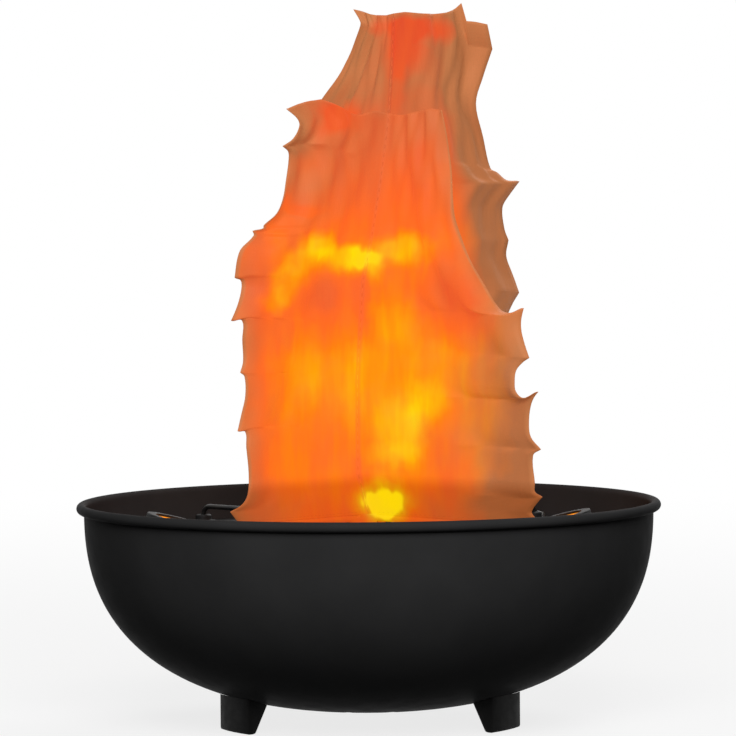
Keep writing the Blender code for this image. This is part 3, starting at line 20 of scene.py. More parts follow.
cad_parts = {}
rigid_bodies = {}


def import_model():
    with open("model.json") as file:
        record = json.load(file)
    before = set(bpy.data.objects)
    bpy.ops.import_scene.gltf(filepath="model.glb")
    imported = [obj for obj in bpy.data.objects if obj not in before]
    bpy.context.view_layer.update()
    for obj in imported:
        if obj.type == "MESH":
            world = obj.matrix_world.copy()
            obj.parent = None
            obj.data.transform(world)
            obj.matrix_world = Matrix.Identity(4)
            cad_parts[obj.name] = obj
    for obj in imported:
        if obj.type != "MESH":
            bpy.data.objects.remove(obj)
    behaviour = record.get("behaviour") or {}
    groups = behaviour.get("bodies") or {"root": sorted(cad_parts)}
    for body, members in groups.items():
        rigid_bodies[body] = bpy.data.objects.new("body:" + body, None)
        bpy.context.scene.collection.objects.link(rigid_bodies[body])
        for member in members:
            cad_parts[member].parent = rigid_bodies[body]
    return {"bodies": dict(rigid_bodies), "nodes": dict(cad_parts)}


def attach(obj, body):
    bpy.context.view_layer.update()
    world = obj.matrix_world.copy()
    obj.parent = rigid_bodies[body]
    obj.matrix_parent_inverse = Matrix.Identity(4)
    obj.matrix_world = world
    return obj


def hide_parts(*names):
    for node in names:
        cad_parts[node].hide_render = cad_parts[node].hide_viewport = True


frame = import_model()
for stray in set(bpy.data.objects) - set(frame["nodes"].values()) - set(frame["bodies"].values()):
    bpy.data.objects.remove(stray, do_unlink=True)
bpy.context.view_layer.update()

LOG = logging.getLogger("flame_effect_light")

Array = np.ndarray
Colour = tuple[float, float, float]
Pair = tuple[float, float]
Line = tuple[Pair, ...]
Socket = bpy.types.NodeSocket

QUARTER = math.pi / 2
WHITE = (1.0, 1.0, 1.0, 1.0)
SEAT_GAP = 0.0003
DECK_TOP = 0.0900
ROD_RADIUS = 0.00125
ROD_HEIGHT = 0.0985
ROD_DIP = 2 * ROD_RADIUS + SEAT_GAP
DIP_START = 0.0140
DIP_RUN = 0.0070
WELD_GAP = 1e-7
PLAIN_ANGLE = 38
CARVED_ANGLE = 32


class Body(Enum):
    """The frame's bodies that pieces ride on."""

    LIGHT = "light"
    IMPELLER = "impeller"
    ROCKER = "rocker"


class Slot(Enum):
    """The record's material slots, which the calls that make the new pieces name."""

    BLACK_PAINT = "black_paint"
    BLACK_PLASTIC = "black_plastic"
    ROCKER_BLACK = "rocker_black"
    ZINC = "zinc"
    WIRE_STEEL = "wire_steel"
    AMBER_LENS = "amber_lens"
    SILK = "silk"


# Surfaces


@dataclass
class Surface:
    """A surface's corners, its faces of four corners each, and flat patterns of its corners by name."""

    points: Array
    quads: Array
    maps: dict[str, Array] | None = None

    def moved(self, matrix: Matrix) -> "Surface":
        """The same surface after a turn and a shift."""
        values = np.array(matrix)
        return Surface(self.points @ values[:3, :3].T + values[:3, 3], self.quads, self.maps)

    def mapped(self, cloth: Array, wing: Any) -> "Surface":
        """The same surface with its place on the cloth and its share of the way out along a wing."""
        return Surface(self.points, self.quads,
                       {"cloth": cloth, "wing": np.broadcast_to(wing, (len(self.points), 2))})


def grid(points: Array, round_across: bool = False, round_along: bool = False) -> Surface:
    """Faces between the neighbouring points of a grid.

    Args:
        points: Rows, columns and three coordinates.
        round_across: Whether the last column meets the first.
        round_along: Whether the last row meets the first.

    Returns:
        The surface, whose points are the grid's rows one after another.
    """
    index = np.arange(points.shape[0] * points.shape[1]).reshape(points.shape[:2])
    if round_across:
        index = np.concatenate([index, index[:, :1]], axis=1)
    if round_along:
        index = np.concatenate([index, index[:1]], axis=0)
    quads = np.stack([index[:-1, :-1], index[:-1, 1:], index[1:, 1:], index[1:, :-1]], axis=-1)
    return Surface(points.reshape(-1, 3), quads.reshape(-1, 4))


def around(count: int, first: float = 0.0) -> tuple[float, ...]:
    """Azimuths spread evenly round Z, the first of them in degrees."""
    return tuple(math.radians(first + 360 * k / count) for k in range(count))


def turn(azimuth: float) -> Matrix:
    """The turn that takes a piece from the front to its azimuth."""
    return Matrix.Rotation(azimuth, 4, "Z")


def at(azimuth: Any, radius: Any, height: Any) -> Array:
    """Points from azimuth, distance from Z and height: (r sin a, -r cos a, h)."""
    azimuth, radius, height = np.broadcast_arrays(azimuth, radius, height)
    return np.stack([radius * np.sin(azimuth), -radius * np.cos(azimuth), height], axis=-1).astype(float)


def sideways(azimuth: float) -> Vector:
    """The level direction across a line that runs out from Z at an azimuth."""
    return Vector((math.cos(azimuth), math.sin(azimuth), 0))


def unit(vectors: Array) -> Array:
    """The same directions at length one."""
    return vectors / np.linalg.norm(vectors, axis=-1, keepdims=True)


def between(ends: Pair, share: Any) -> Any:
    """A share of the way from one number to another."""
    return ends[0] + (ends[1] - ends[0]) * share


def smooth_step(value: Any, low: float, high: float) -> Array:
    """0 below low, 1 above high and an even rise between them."""
    share = np.clip((np.asarray(value, float) - low) / (high - low), 0, 1)
    return share * share * (3 - 2 * share)


def resampled(line: Array, known: Array, wanted: Array) -> Array:
    """A line's points at other values of its parameter, on straight steps between those it has."""
    return np.stack([np.interp(wanted, known, column) for column in line.T], axis=1)


def arc(centre: Pair, radius: float, start: float, end: float, count: int) -> Array:
    """Points on an arc: centre + radius (cos t, sin t) for t from start to end, in degrees."""
    t = np.radians(np.linspace(start, end, count))
    return np.stack([centre[0] + radius * np.cos(t), centre[1] + radius * np.sin(t)], axis=1)


def rows(*parts: Any) -> Array:
    """One profile from points and runs of points."""
    return np.concatenate([np.asarray(part, float).reshape(-1, 2) for part in parts])


def revolve(profile: Array, segments: int, closed: bool = False) -> Surface:
    """A profile turned once round Z: x = r sin a, y = -r cos a, z = h for every angle a.

    Args:
        profile: Rows of radius and height.
        segments: How many steps the turn has.
        closed: Whether the profile's end meets its start.

    Returns:
        The turned surface. A radius of 0 at an end closes it there.
    """
    angle = np.linspace(0, 2 * math.pi, segments, endpoint=False)
    return grid(at(angle[None, :], profile[:, :1], profile[:, 1:]), True, closed)


def prism(outline: Array, low: float, high: float) -> Surface:
    """A closed block: its outline at two heights with upright walls, drawn in to Z at both ends.

    Args:
        outline: Its corners seen from above, in order.
        low: The height of its underside.
        high: The height of its top.

    Returns:
        The block's surface.
    """
    scale = np.array([0.0, 1.0, 1.0, 0.0])[:, None, None]
    tall = np.array([low, low, high, high])[:, None, None]
    walls = [outline[None] * scale, np.broadcast_to(tall, (4, len(outline), 1))]
    return grid(np.concatenate(walls, axis=2), True)


def sweep(path: Array, radius: Any, sides: int, across: Vector, squash: float = 1.0) -> Surface:
    """A round or oval section carried along a path: c(s) + r(s) (n cos t + squash b sin t).

    Args:
        path: Points along the line.
        radius: One radius, or one for each point; 0 at an end closes the tube there.
        sides: Corners of the section.
        across: A direction that the path never runs in; n is the path's heading crossed with it.
        squash: The section's second half-axis as a share of the first.

    Returns:
        The tube's surface.
    """
    heading = unit(np.gradient(path, axis=0))
    first = unit(np.cross(heading, np.array(across)))
    second = np.cross(heading, first)
    t = np.linspace(0, 2 * math.pi, sides, endpoint=False)[None, :, None]
    size = np.broadcast_to(np.asarray(radius, float), (len(path),))[:, None, None]
    ring = first[:, None] * np.cos(t) + squash * second[:, None] * np.sin(t)
    return grid(path[:, None] + size * ring, True)


def tube(path: Array, radius: float, sides: int, across: Vector, squash: float = 1.0) -> Surface:
    """A section carried along a path as in sweep, with a quarter circle that closes it at each end.

    Args:
        path: Points along the line, from tip to tip.
        radius: The section's first half-axis.
        sides: Corners of the section.
        across: A direction that the path never runs in.
        squash: The section's second half-axis as a share of the first.

    Returns:
        The closed tube's surface.
    """
    t = np.linspace(0, QUARTER, 5)
    inward = radius * (1 - np.cos(t))[:, None]
    start = path[0] + unit(path[1] - path[0]) * inward
    end = path[-1] - unit(path[-1] - path[-2]) * inward
    swell = radius * np.sin(t)
    sizes = np.concatenate([swell, np.full(len(path) - 2, radius), swell[::-1]])
    return sweep(np.concatenate([start, path[1:-1], end[::-1]]), sizes, sides, across, squash)


def rounded_line(corners: Array, radius: float, steps: int) -> Array:
    """A line through corners whose bends are rounded.

    Args:
        corners: The line's corners.
        radius: How far before and after a corner its bend starts and ends.
        steps: Points in each bend.

    Returns:
        Points on straight runs and, at each corner, on the parabola (1-t)^2 a + 2t(1-t) c + t^2 b.
    """
    middle = corners[1:-1]
    before = (middle + unit(corners[:-2] - middle) * radius)[:, None]
    after = (middle + unit(corners[2:] - middle) * radius)[:, None]
    t = np.linspace(0, 1, steps)[None, :, None]
    bends = (1 - t) ** 2 * before + 2 * t * (1 - t) * middle[:, None] + t**2 * after
    return np.concatenate([corners[:1], bends.reshape(-1, 3), corners[-1:]])


def mesh_of(name: str, surfaces: Sequence[Surface], smooth_angle: float = PLAIN_ANGLE,
            closed: bool = True) -> bpy.types.Mesh:
    """One mesh from several surfaces, with seams and poles closed.

    Args:
        name: The mesh's name.
        surfaces: What it is made of.
        smooth_angle: Edges sharper than this many degrees stay sharp.
        closed: Whether it has an inside, so that its faces are turned outwards.

    Returns:
        The mesh.
    """
    starts = np.cumsum([0] + [len(surface.points) for surface in surfaces[:-1]])
    quads = np.concatenate([surface.quads + start for surface, start in zip(surfaces, starts)])
    points = np.concatenate([surface.points for surface in surfaces])
    mesh = bpy.data.meshes.new(name)
    mesh.from_pydata(points.tolist(), [], quads.tolist())
    for label in surfaces[0].maps or {}:
        values = np.concatenate([surface.maps[label] for surface in surfaces])
        layer = mesh.uv_layers.new(name=label)
        layer.data.foreach_set("uv", values[quads.ravel()].astype(np.float32).ravel())
    bm = bmesh.new()
    bm.from_mesh(mesh)
    bmesh.ops.remove_doubles(bm, verts=bm.verts, dist=WELD_GAP)
    if closed:
        bmesh.ops.recalc_face_normals(bm, faces=bm.faces)
    bm.to_mesh(mesh)
    bm.free()
    mesh.shade_smooth()
    mesh.set_sharp_from_angle(angle=math.radians(smooth_angle))
    return mesh


def placed(name: str, data: Any) -> bpy.types.Object:
    """A new object in the scene, at the origin.

    Args:
        name: Its name.
        data: Its mesh, lamp or camera.

    Returns:
        The object.
    """
    made = bpy.data.objects.new(name, data)
    bpy.context.scene.collection.objects.link(made)
    return made


def carve(piece: bpy.types.Object, tools: Sequence[Surface], operation: str = "DIFFERENCE") -> None:
    """Cuts closed shapes out of a piece, or joins them to it, and keeps the result as its mesh.

    Args:
        piece: What is cut.
        tools: The closed shapes.
        operation: DIFFERENCE to cut them out, UNION to join them.
    """
    tool = placed("tool", mesh_of("tool", tools))
    modifier = piece.modifiers.new("cut", "BOOLEAN")
    modifier.operation, modifier.object, modifier.solver = operation, tool, "EXACT"
    graph = bpy.context.evaluated_depsgraph_get()
    made = bpy.data.meshes.new_from_object(piece.evaluated_get(graph))
    piece.modifiers.clear()
    piece.data = made
    made.shade_smooth()
    made.set_sharp_from_angle(angle=math.radians(CARVED_ANGLE))
    bpy.data.objects.remove(tool, do_unlink=True)


# Finishes


class Nodes:
    """The node tree of a material or of the world, with one call for each node and its links."""

    def __init__(self, owner: Any) -> None:
        """Opens the owner's node tree.

        Args:
            owner: The material or the world.
        """
        owner.use_nodes = True
        self.owner = owner
        self.tree = owner.node_tree

    def add(self, kind: str, inputs: dict[Any, Any], **settings: Any) -> bpy.types.Node:
        """Adds a node.

        Args:
            kind: The node's type, such as ShaderNodeMath.
            inputs: By name or number, what feeds an input: a number, a colour or another node's socket.
            settings: The node's own options.

        Returns:
            The node.
        """
        node = self.tree.nodes.new(kind)
        for key, value in settings.items():
            setattr(node, key, value)
        for key, value in inputs.items():
            self.feed(node.inputs[key], value)
        return node

    def feed(self, socket: Socket, value: Any) -> None:
        """Links a socket to another, or gives it a value.

        Args:
            socket: The input that is fed.
            value: A number, a colour or the socket that feeds it.
        """
        if isinstance(value, bpy.types.NodeSocket):
            self.tree.links.new(value, socket)
        else:
            socket.default_value = value

    def shade(self, **inputs: Any) -> bpy.types.Material:
        """Feeds the Principled shader.

        Args:
            inputs: What feeds each of its sockets, with underscores for the spaces in their names.

        Returns:
            The material.
        """
        for key, value in inputs.items():
            self.feed(self.tree.nodes["Principled BSDF"].inputs[key.replace("_", " ")], value)
        return self.owner

    def place(self, stretch: Colour = (1.0, 1.0, 1.0)) -> Socket:
        """The object's own coordinates, stretched by a Mapping node.

        Args:
            stretch: What each coordinate is multiplied by.

        Returns:
            The coordinates' socket.
        """
        source = self.add("ShaderNodeTexCoord", {}).outputs["Object"]
        if stretch == (1.0, 1.0, 1.0):
            return source
        return self.add("ShaderNodeMapping", {"Vector": source, "Scale": stretch}).outputs[0]

    def uv(self, name: str) -> Socket:
        """One of the piece's flat maps."""
        return self.add("ShaderNodeUVMap", {}, uv_map=name).outputs[0]

    def axis(self, vector: Socket, letter: str) -> Socket:
        """One coordinate of a vector."""
        return self.add("ShaderNodeSeparateXYZ", {0: vector}).outputs[letter]

    def math(self, operation: str, *values: Any) -> Socket:
        """One sum on numbers."""
        return self.add("ShaderNodeMath", dict(enumerate(values)), operation=operation).outputs[0]

    def vector(self, operation: str, *values: Any) -> Socket:
        """One sum on vectors. A distance and a length come out as numbers."""
        made = self.add("ShaderNodeVectorMath", dict(enumerate(values)), operation=operation)
        return made.outputs["Value" if operation in ("DISTANCE", "LENGTH") else "Vector"]

    def noise(self, vector: Socket, size: float, detail: float = 3.0, output: str = "Fac") -> Socket:
        """A cloudy pattern from 0 to 1 whose marks are about this size."""
        made = self.add("ShaderNodeTexNoise", {"Vector": vector, "Scale": 1 / size, "Detail": detail})
        return made.outputs[output]

    def wave(self, vector: Socket, scale: float, distortion: float, way: str = "Z", kind: str = "BANDS",
             detail: float = 2.0) -> Socket:
        """Bands across an axis, or rings round it, from 0 to 1.

        Args:
            vector: Where the pattern is read.
            scale: How closely the bands follow each other.
            distortion: How far noise bends them.
            way: The axis.
            kind: BANDS or RINGS.
            detail: How fine that noise is.

        Returns:
            The pattern's socket.
        """
        inputs = {"Vector": vector, "Scale": scale, "Distortion": distortion, "Detail": detail}
        made = self.add("ShaderNodeTexWave", inputs, wave_type=kind, bands_direction=way, rings_direction=way)
        return made.outputs["Fac"]

    def span(self, value: Any, source: Pair, target: Pair = (0.0, 1.0), smooth: bool = False) -> Socket:
        """A number taken from one span to another, and kept inside it.

        Args:
            value: The number, or its socket.
            source: The span it comes from.
            target: The span it is taken to.
            smooth: Whether it eases in and out at the ends.

        Returns:
            The new number's socket.
        """
        inputs = dict(zip(("Value", "From Min", "From Max", "To Min", "To Max"), (value, *source, *target)))
        kind = "SMOOTHSTEP" if smooth else "LINEAR"
        return self.add("ShaderNodeMapRange", inputs, interpolation_type=kind).outputs["Result"]

    def mix(self, share: Any, first: Any, second: Any) -> Socket:
        """A share of the way from one colour to another.

        Args:
            share: How far, from 0 to 1.
            first: The colour at 0.
            second: The colour at 1.

        Returns:
            The mixed colour's socket.
        """
        colours = [(*value, 1.0) if isinstance(value, tuple) else value for value in (first, second)]
        inputs = dict(zip((0, 6, 7), (share, *colours)))
        return self.add("ShaderNodeMix", inputs, data_type="RGBA").outputs[2]

    def ramp(self, value: Any, stops: Sequence[tuple[float, Any]]) -> Socket:
        """A colour, or a grey from a number, read off a line of stops.

        Args:
            value: The place on the line, from 0 to 1.
            stops: Places with their colours or numbers.

        Returns:
            The colour's socket.
        """
        made = self.add("ShaderNodeValToRGB", {"Fac": value})
        for k, (place, colour) in enumerate(stops):
            stop = made.color_ramp.elements[k] if k < 2 else made.color_ramp.elements.new(place)
            stop.position = place
            stop.color = (*(colour if isinstance(colour, tuple) else 3 * (colour,)), 1.0)
        return made.outputs["Color"]

    def bump(self, height: Any, depth: float, strength: float = 1.0) -> Socket:
        """A relief of this depth in metres."""
        inputs = {"Height": height, "Distance": depth, "Strength": strength}
        return self.add("ShaderNodeBump", inputs).outputs["Normal"]

    def seen(self) -> Socket:
        """Whether a ray is one that the camera sees.

        Returns:
            1 where the camera looks, straight, in a mirror or through glass, and 0 where a surface is lit.
        """
        path = self.add("ShaderNodeLightPath", {}).outputs
        other = self.math("MAXIMUM", path["Is Glossy Ray"], path["Is Transmission Ray"])
        return self.math("MAXIMUM", path["Is Camera Ray"], other)


class Marks(Enum):
    """What runs over a finish, besides its grain."""

    NONE = "none"
    TURNED = "turned"
    WOUND = "wound"
    TRACKS = "tracks"


@dataclass(frozen=True)
class Finish:
    """A solid finish: two colours in patches, its roughness, and a grain that breaks up its shine."""

    name: str
    colour: Colour
    shade: Colour
    roughness: Pair
    patch: float
    grain: float
    depth: float
    metallic: float = 0.0
    specular: float = 0.5
    stretch: Colour = (1.0, 1.0, 1.0)
    marks: Marks = Marks.NONE

    def material(self) -> bpy.types.Material:
        """The finish's material, made once.

        Returns:
            A Principled material. Cloudy noise at the patch size mixes the two colours, finer noise sets the
            roughness, and the grain is noise at its own size, with rings, windings or tracks laid over it.
        """
        known = bpy.data.materials.get(self.name)
        if known:
            return known
        nodes = Nodes(bpy.data.materials.new(self.name))
        where, drawn = nodes.place(), nodes.place(self.stretch)
        share = nodes.span(nodes.noise(where, self.patch, 4.0), (0.38, 0.62))
        height = grain = nodes.noise(drawn, self.grain, 2.0)
        if self.marks is Marks.TURNED:
            rings = nodes.wave(where, 420.0, 0.6, kind="RINGS", detail=1.0)
            height = nodes.math("MULTIPLY_ADD", rings, 0.35, grain)
        elif self.marks is Marks.WOUND:
            wire = nodes.wave(where, 900.0, 0.3)
            height = nodes.math("MULTIPLY_ADD", grain, 0.3, wire)
            # Painted shade: the colour darkens in the grooves between the windings.
            share = nodes.math("MULTIPLY", share, wire)
        elif self.marks is Marks.TRACKS:
            black = (0.0, 0.0, 0.0, 1.0)
            inputs = {"Vector": where, "Scale": 160.0, "Mortar Size": 0.035, "Color1": black, "Color2": black,
                      "Mortar": WHITE}
            tracks = nodes.add("ShaderNodeTexBrick", inputs).outputs["Color"]
            height = nodes.math("MULTIPLY_ADD", grain, 0.2, tracks)
            share = nodes.math("MAXIMUM", nodes.math("MULTIPLY", share, 0.3), tracks)
        rough = nodes.span(nodes.noise(drawn, 8 * self.grain), (0.3, 0.7), self.roughness)
        return nodes.shade(Base_Color=nodes.mix(share, self.colour, self.shade), Roughness=rough,
                           Metallic=self.metallic, Specular_IOR_Level=self.specular,
                           Normal=nodes.bump(height, self.depth))


PAINT = Finish("black_satin_paint", (0.0285, 0.0285, 0.0290), (0.0335, 0.0335, 0.0340), (0.38, 0.48),
               patch=0.045, grain=0.0011, depth=0.000012, specular=0.0015, marks=Marks.TURNED)
DECK_PAINT = Finish("black_deck_paint", (0.0060, 0.0060, 0.0062), (0.0095, 0.0092, 0.0088), (0.50, 0.64),
                    patch=0.030, grain=0.0008, depth=0.000025, specular=0.25)
PLASTIC = Finish("moulded_black_plastic", (0.0100, 0.0100, 0.0104), (0.0150, 0.0148, 0.0145), (0.46, 0.60),
                 patch=0.012, grain=0.0004, depth=0.000018, specular=0.12)
FOOT_PLASTIC = Finish("ribbed_black_plastic", (0.0070, 0.0070, 0.0072), (0.0095, 0.0094, 0.0092),
                      (0.50, 0.62), patch=0.010, grain=0.0005, depth=0.000025, specular=0.05)
GLOSS_PLASTIC = Finish("rocker_plastic", (0.0120, 0.0120, 0.0125), (0.0160, 0.0160, 0.0160), (0.24, 0.34),
                       patch=0.006, grain=0.0007, depth=0.000006, specular=0.45)
SHEATH = Finish("lead_sheath", (0.016, 0.016, 0.017), (0.024, 0.023, 0.022), (0.36, 0.50),
                patch=0.010, grain=0.0006, depth=0.000014, specular=0.4)
ZINC_PLATE = Finish("zinc_plate", (0.56, 0.58, 0.62), (0.66, 0.63, 0.55), (0.26, 0.42),
                    patch=0.003, grain=0.0005, depth=0.000010, metallic=1.0)
STEEL_WIRE = Finish("plated_wire", (0.50, 0.51, 0.53), (0.62, 0.61, 0.59), (0.22, 0.40),
                    patch=0.012, grain=0.0005, depth=0.000008, metallic=1.0, stretch=(1.0, 1.0, 3.0))
BLACK_WIRE = Finish("blackened_wire", (0.012, 0.012, 0.013), (0.022, 0.020, 0.018), (0.34, 0.48),
                    patch=0.008, grain=0.0004, depth=0.000008, metallic=0.6)
SINK_METAL = Finish("drawn_aluminium", (0.60, 0.61, 0.63), (0.70, 0.70, 0.71), (0.30, 0.46),
                    patch=0.006, grain=0.0003, depth=0.000012, metallic=1.0, stretch=(1.0, 1.0, 0.12))
BEARING_METAL = Finish("sintered_brass", (0.58, 0.42, 0.18), (0.68, 0.50, 0.24), (0.42, 0.56),
                       patch=0.002, grain=0.0002, depth=0.000015, metallic=1.0)
# Painted shade: the first colour darkens the grooves between the windings.
WINDING = Finish("enamelled_copper", (0.52, 0.17, 0.06), (0.74, 0.30, 0.12), (0.22, 0.34),
                 patch=0.004, grain=0.0004, depth=0.00012, metallic=0.8, marks=Marks.WOUND)
FERRITE = Finish("ferrite", (0.036, 0.036, 0.040), (0.060, 0.058, 0.056), (0.55, 0.70),
                 patch=0.003, grain=0.0002, depth=0.000020)
BOARD = Finish("green_board", (0.012, 0.085, 0.035), (0.030, 0.180, 0.070), (0.30, 0.42),
               patch=0.004, grain=0.0003, depth=0.000030, marks=Marks.TRACKS)
MARK_INK = Finish("mark_ink", (0.72, 0.72, 0.70), (0.60, 0.60, 0.58), (0.45, 0.58),
                  patch=0.0008, grain=0.0002, depth=0.000006)


@dataclass(frozen=True)
class LitLens:
    """Amber lens lit from below: hot over its emitter and amber towards its rim, in each lamp's own place."""

    name: str
    centres: tuple[Colour, ...]
    radius: float
    glass: Colour = (0.78, 0.26, 0.012)
    rim_glass: Colour = (0.55, 0.15, 0.010)
    hot: Colour = (1.0, 0.62, 0.16)
    warm: Colour = (0.92, 0.30, 0.012)

    def material(self) -> bpy.types.Material:
        """The lens material.

        Returns:
            A Principled material whose glow and glass go from hot to warm with the distance to the nearest
            lamp's centre.
        """
        nodes = Nodes(bpy.data.materials.new(self.name))
        where = nodes.place()
        nearest: Any = 1.0
        for centre in self.centres:
            nearest = nodes.math("MINIMUM", nearest, nodes.vector("DISTANCE", where, centre))
        share = nodes.span(nearest, (0.1 * self.radius, 0.95 * self.radius), smooth=True)
        rough = nodes.span(nodes.noise(where, 0.004), (0.3, 0.7), (0.08, 0.16))
        return nodes.shade(Base_Color=nodes.mix(share, self.glass, self.rim_glass), Roughness=rough,
                           Emission_Color=nodes.mix(share, self.hot, self.warm), Emission_Strength=1.0,
                           Normal=nodes.bump(nodes.noise(where, 0.0012), 0.00003))


@dataclass(frozen=True)
class Spot:
    """A soft oval place on the flame: centre and half-widths in millimetres, and what it adds to a field."""

    x: float
    z: float
    wide: float
    tall: float
    gain: float


@dataclass(frozen=True)
class LitSilk:
    """Thin dyed silk with painted light: its emission glows as if lit by the lamps below.

    Two fields are worked out from the height over the floor, oval spots, noise and the distance to the free
    edge. The painted light runs along a line of glow colours from red to yellow. The painted shade share
    takes both the glow and the dye to the brown that shows where little light comes through. Streaks and
    clouds of painted light and shade are a size and the most they add. The outer painted shade is where it
    starts and ends across a wing, and how much it adds.
    """

    name: str
    # Painted shade: where the outer darkening starts and ends across a wing, and how much it adds.
    outer_painted_shade: tuple[float, float, float]
    strength: float = 1.0
    # Painted shade: the dye and the glow turn brown where little light comes through.
    lit_dye: Colour = (0.220, 0.038, 0.002)
    shaded_dye: Colour = (0.430, 0.150, 0.055)
    shaded_glow: Colour = (0.200, 0.072, 0.026)
    sheen: Colour = (1.0, 0.55, 0.20)
    # Painted shade: the foot is darker up to a height, except where the painted light is strongest.
    foot_painted_shade: Colour = (0.75, 0.62, 0.48)
    foot_span: Pair = (0.1135, 0.1215)
    foot_clear: Pair = (0.90, 1.05)
    # Painted light and shade: streaks stretched upwards, and clouds.
    streak: Pair = (0.010, 0.065)
    cloud: Pair = (0.026, 0.10)
    # Painted shade near the seam and at the free edge.
    seam_reach: Pair = (0.004, 0.030)
    seam_painted_shade: float = -0.10
    edge_reach: Pair = (0.950, 0.995)
    edge_painted_shade: float = 0.9
    weave: float = 125.0
    crease: float = 0.006
    relief: float = 0.0005

    warps: ClassVar[Any] = ((24.0, (0.014, 0.014, 0.018)), (75.0, (0.007, 0.007, 0.010)))
    # Painted light: the glow's level at each height.
    painted_light_stops: ClassVar[Line] = (
        (0.100, 0.40), (0.112, 0.50), (0.126, 0.56), (0.150, 0.62), (0.176, 0.60), (0.190, 0.48),
        (0.205, 0.42), (0.222, 0.46), (0.240, 0.36), (0.256, 0.24), (0.285, 0.14), (0.345, 0.04))
    # Painted shade: the brown share at each height.
    painted_shade_stops: ClassVar[Line] = (
        (0.100, 0.06), (0.200, 0.02), (0.240, 0.06), (0.256, 0.20), (0.275, 0.40), (0.292, 0.50),
        (0.303, 0.86), (0.345, 0.88))
    glow: ClassVar[Any] = (
        (0.00, (0.620, 0.055, 0.0220)), (0.20, (0.720, 0.098, 0.0230)), (0.38, (0.840, 0.125, 0.0150)),
        (0.55, (0.880, 0.190, 0.0040)), (0.70, (0.880, 0.290, 0.0020)), (0.85, (0.880, 0.450, 0.0010)),
        (1.00, (0.850, 0.680, 0.0010)))
    # Painted light: pools of light, and with negative gains painted shade.
    painted_light_spots: ClassVar[tuple[Spot, ...]] = (
        Spot(7, 108, 13, 11, 0.74), Spot(18, 142, 13, 17, 0.26), Spot(29, 152, 8, 12, 0.16),
        Spot(10, 129, 14, 6, 0.14), Spot(-6, 158, 5, 26, 0.12), Spot(-27, 172, 7, 17, 0.12),
        Spot(-24, 138, 11, 18, -0.14), Spot(-8, 130, 7, 22, -0.12), Spot(-45, 203, 8, 5, 0.26),
        Spot(-38, 210, 7, 8, 0.26), Spot(-31, 220, 7, 9, 0.28), Spot(-22, 230, 8, 7, 0.44),
        Spot(-10, 222, 13, 6, 0.42), Spot(1, 219, 8, 7, 0.36), Spot(15, 227, 16, 8, 0.38),
        Spot(-20, 204, 10, 9, -0.20), Spot(42, 206, 15, 20, -0.26), Spot(-52, 216, 9, 22, -0.16),
        Spot(12, 196, 9, 14, 0.18), Spot(-2, 204, 4, 15, -0.16), Spot(38, 130, 10, 24, -0.16),
        Spot(-56, 150, 17, 64, -0.26), Spot(-20, 188, 22, 12, -0.05), Spot(14, 176, 26, 22, 0.06))
    # Painted shade: patches of shade, and with negative gains painted light.
    painted_shade_spots: ClassVar[tuple[Spot, ...]] = (
        Spot(79, 146, 31, 67, 0.95), Spot(58, 104, 28, 14, 0.50), Spot(-58, 106, 22, 14, 0.45),
        Spot(-64, 150, 12, 66, 0.50), Spot(62, 268, 16, 60, 0.60), Spot(18, 320, 11, 13, -0.95),
        Spot(27, 331, 20, 6, -0.80), Spot(13, 303, 5, 12, -0.45), Spot(-2, 332, 8, 7, -0.75),
        Spot(-12, 291, 9, 8, -0.62), Spot(-34, 284, 12, 12, 0.45), Spot(26, 258, 18, 22, -0.15),
        Spot(-30, 262, 16, 6, 0.18), Spot(-34, 250, 15, 4, -0.35))

    def field(self, nodes: Nodes, place: Socket, stops: Line, spots: Sequence[Spot]) -> Socket:
        """A number that follows the height through stops, with every spot's gain added inside its oval.

        Args:
            nodes: The material's tree.
            place: The coordinates at which it is read.
            stops: Heights in metres with their values.
            spots: The ovals.

        Returns:
            The number's socket.
        """
        low, high = stops[0][0], stops[-1][0]
        height = nodes.span(nodes.axis(place, "Z"), (low, high))
        total = nodes.ramp(height, [((z - low) / (high - low), value) for z, value in stops])
        for spot in spots:
            scale = (1000 / spot.wide, 0.0, 1000 / spot.tall)
            shift = (-spot.x / spot.wide, 0.0, -spot.z / spot.tall)
            gap = nodes.vector("LENGTH", nodes.vector("MULTIPLY_ADD", place, scale, shift))
            total = nodes.math("ADD", total, nodes.span(gap, (0.30, 1.50), (spot.gain, 0.0), True))
        return total

    def fields(self, nodes: Nodes, where: Socket) -> tuple[Socket, Socket]:
        """The painted light level and the painted shade share.

        Args:
            nodes: The material's tree.
            where: The object's own coordinates.

        Returns:
            Both fields, read at places that two sizes of noise push about, so that no boundary runs smoothly.
            Streaks that are stretched upwards add painted light and shade, and the seam darkens it with
            painted shade. Clouds add painted shade, and so do the outer part of a wing and its free edge.
        """
        bent = where
        for scale, reach in self.warps:
            warp = nodes.noise(where, 1 / scale, 2.0, "Color")
            bent = nodes.vector("MULTIPLY_ADD", nodes.vector("ADD", warp, (-0.5, -0.5, -0.5)), reach, bent)
        # Painted light and painted shade, as two fields on the cloth.
        painted_light = self.field(nodes, bent, self.painted_light_stops, self.painted_light_spots)
        painted_shade = self.field(nodes, bent, self.painted_shade_stops, self.painted_shade_spots)
        out = nodes.axis(nodes.uv("wing"), "X")
        # Painted light and shade: streaks stretched upwards brighten and darken the glow.
        size, gain = self.streak
        streaks = nodes.noise(nodes.place((1.0, 1.0, 0.22)), size)
        painted_light = nodes.math("ADD", painted_light, nodes.span(streaks, (0.30, 0.70), (-gain, gain)))
        # Painted shade: the glow is darker near the seam.
        painted_light = nodes.math("ADD", painted_light, nodes.span(out, self.seam_reach, (self.seam_painted_shade, 0.0), True))
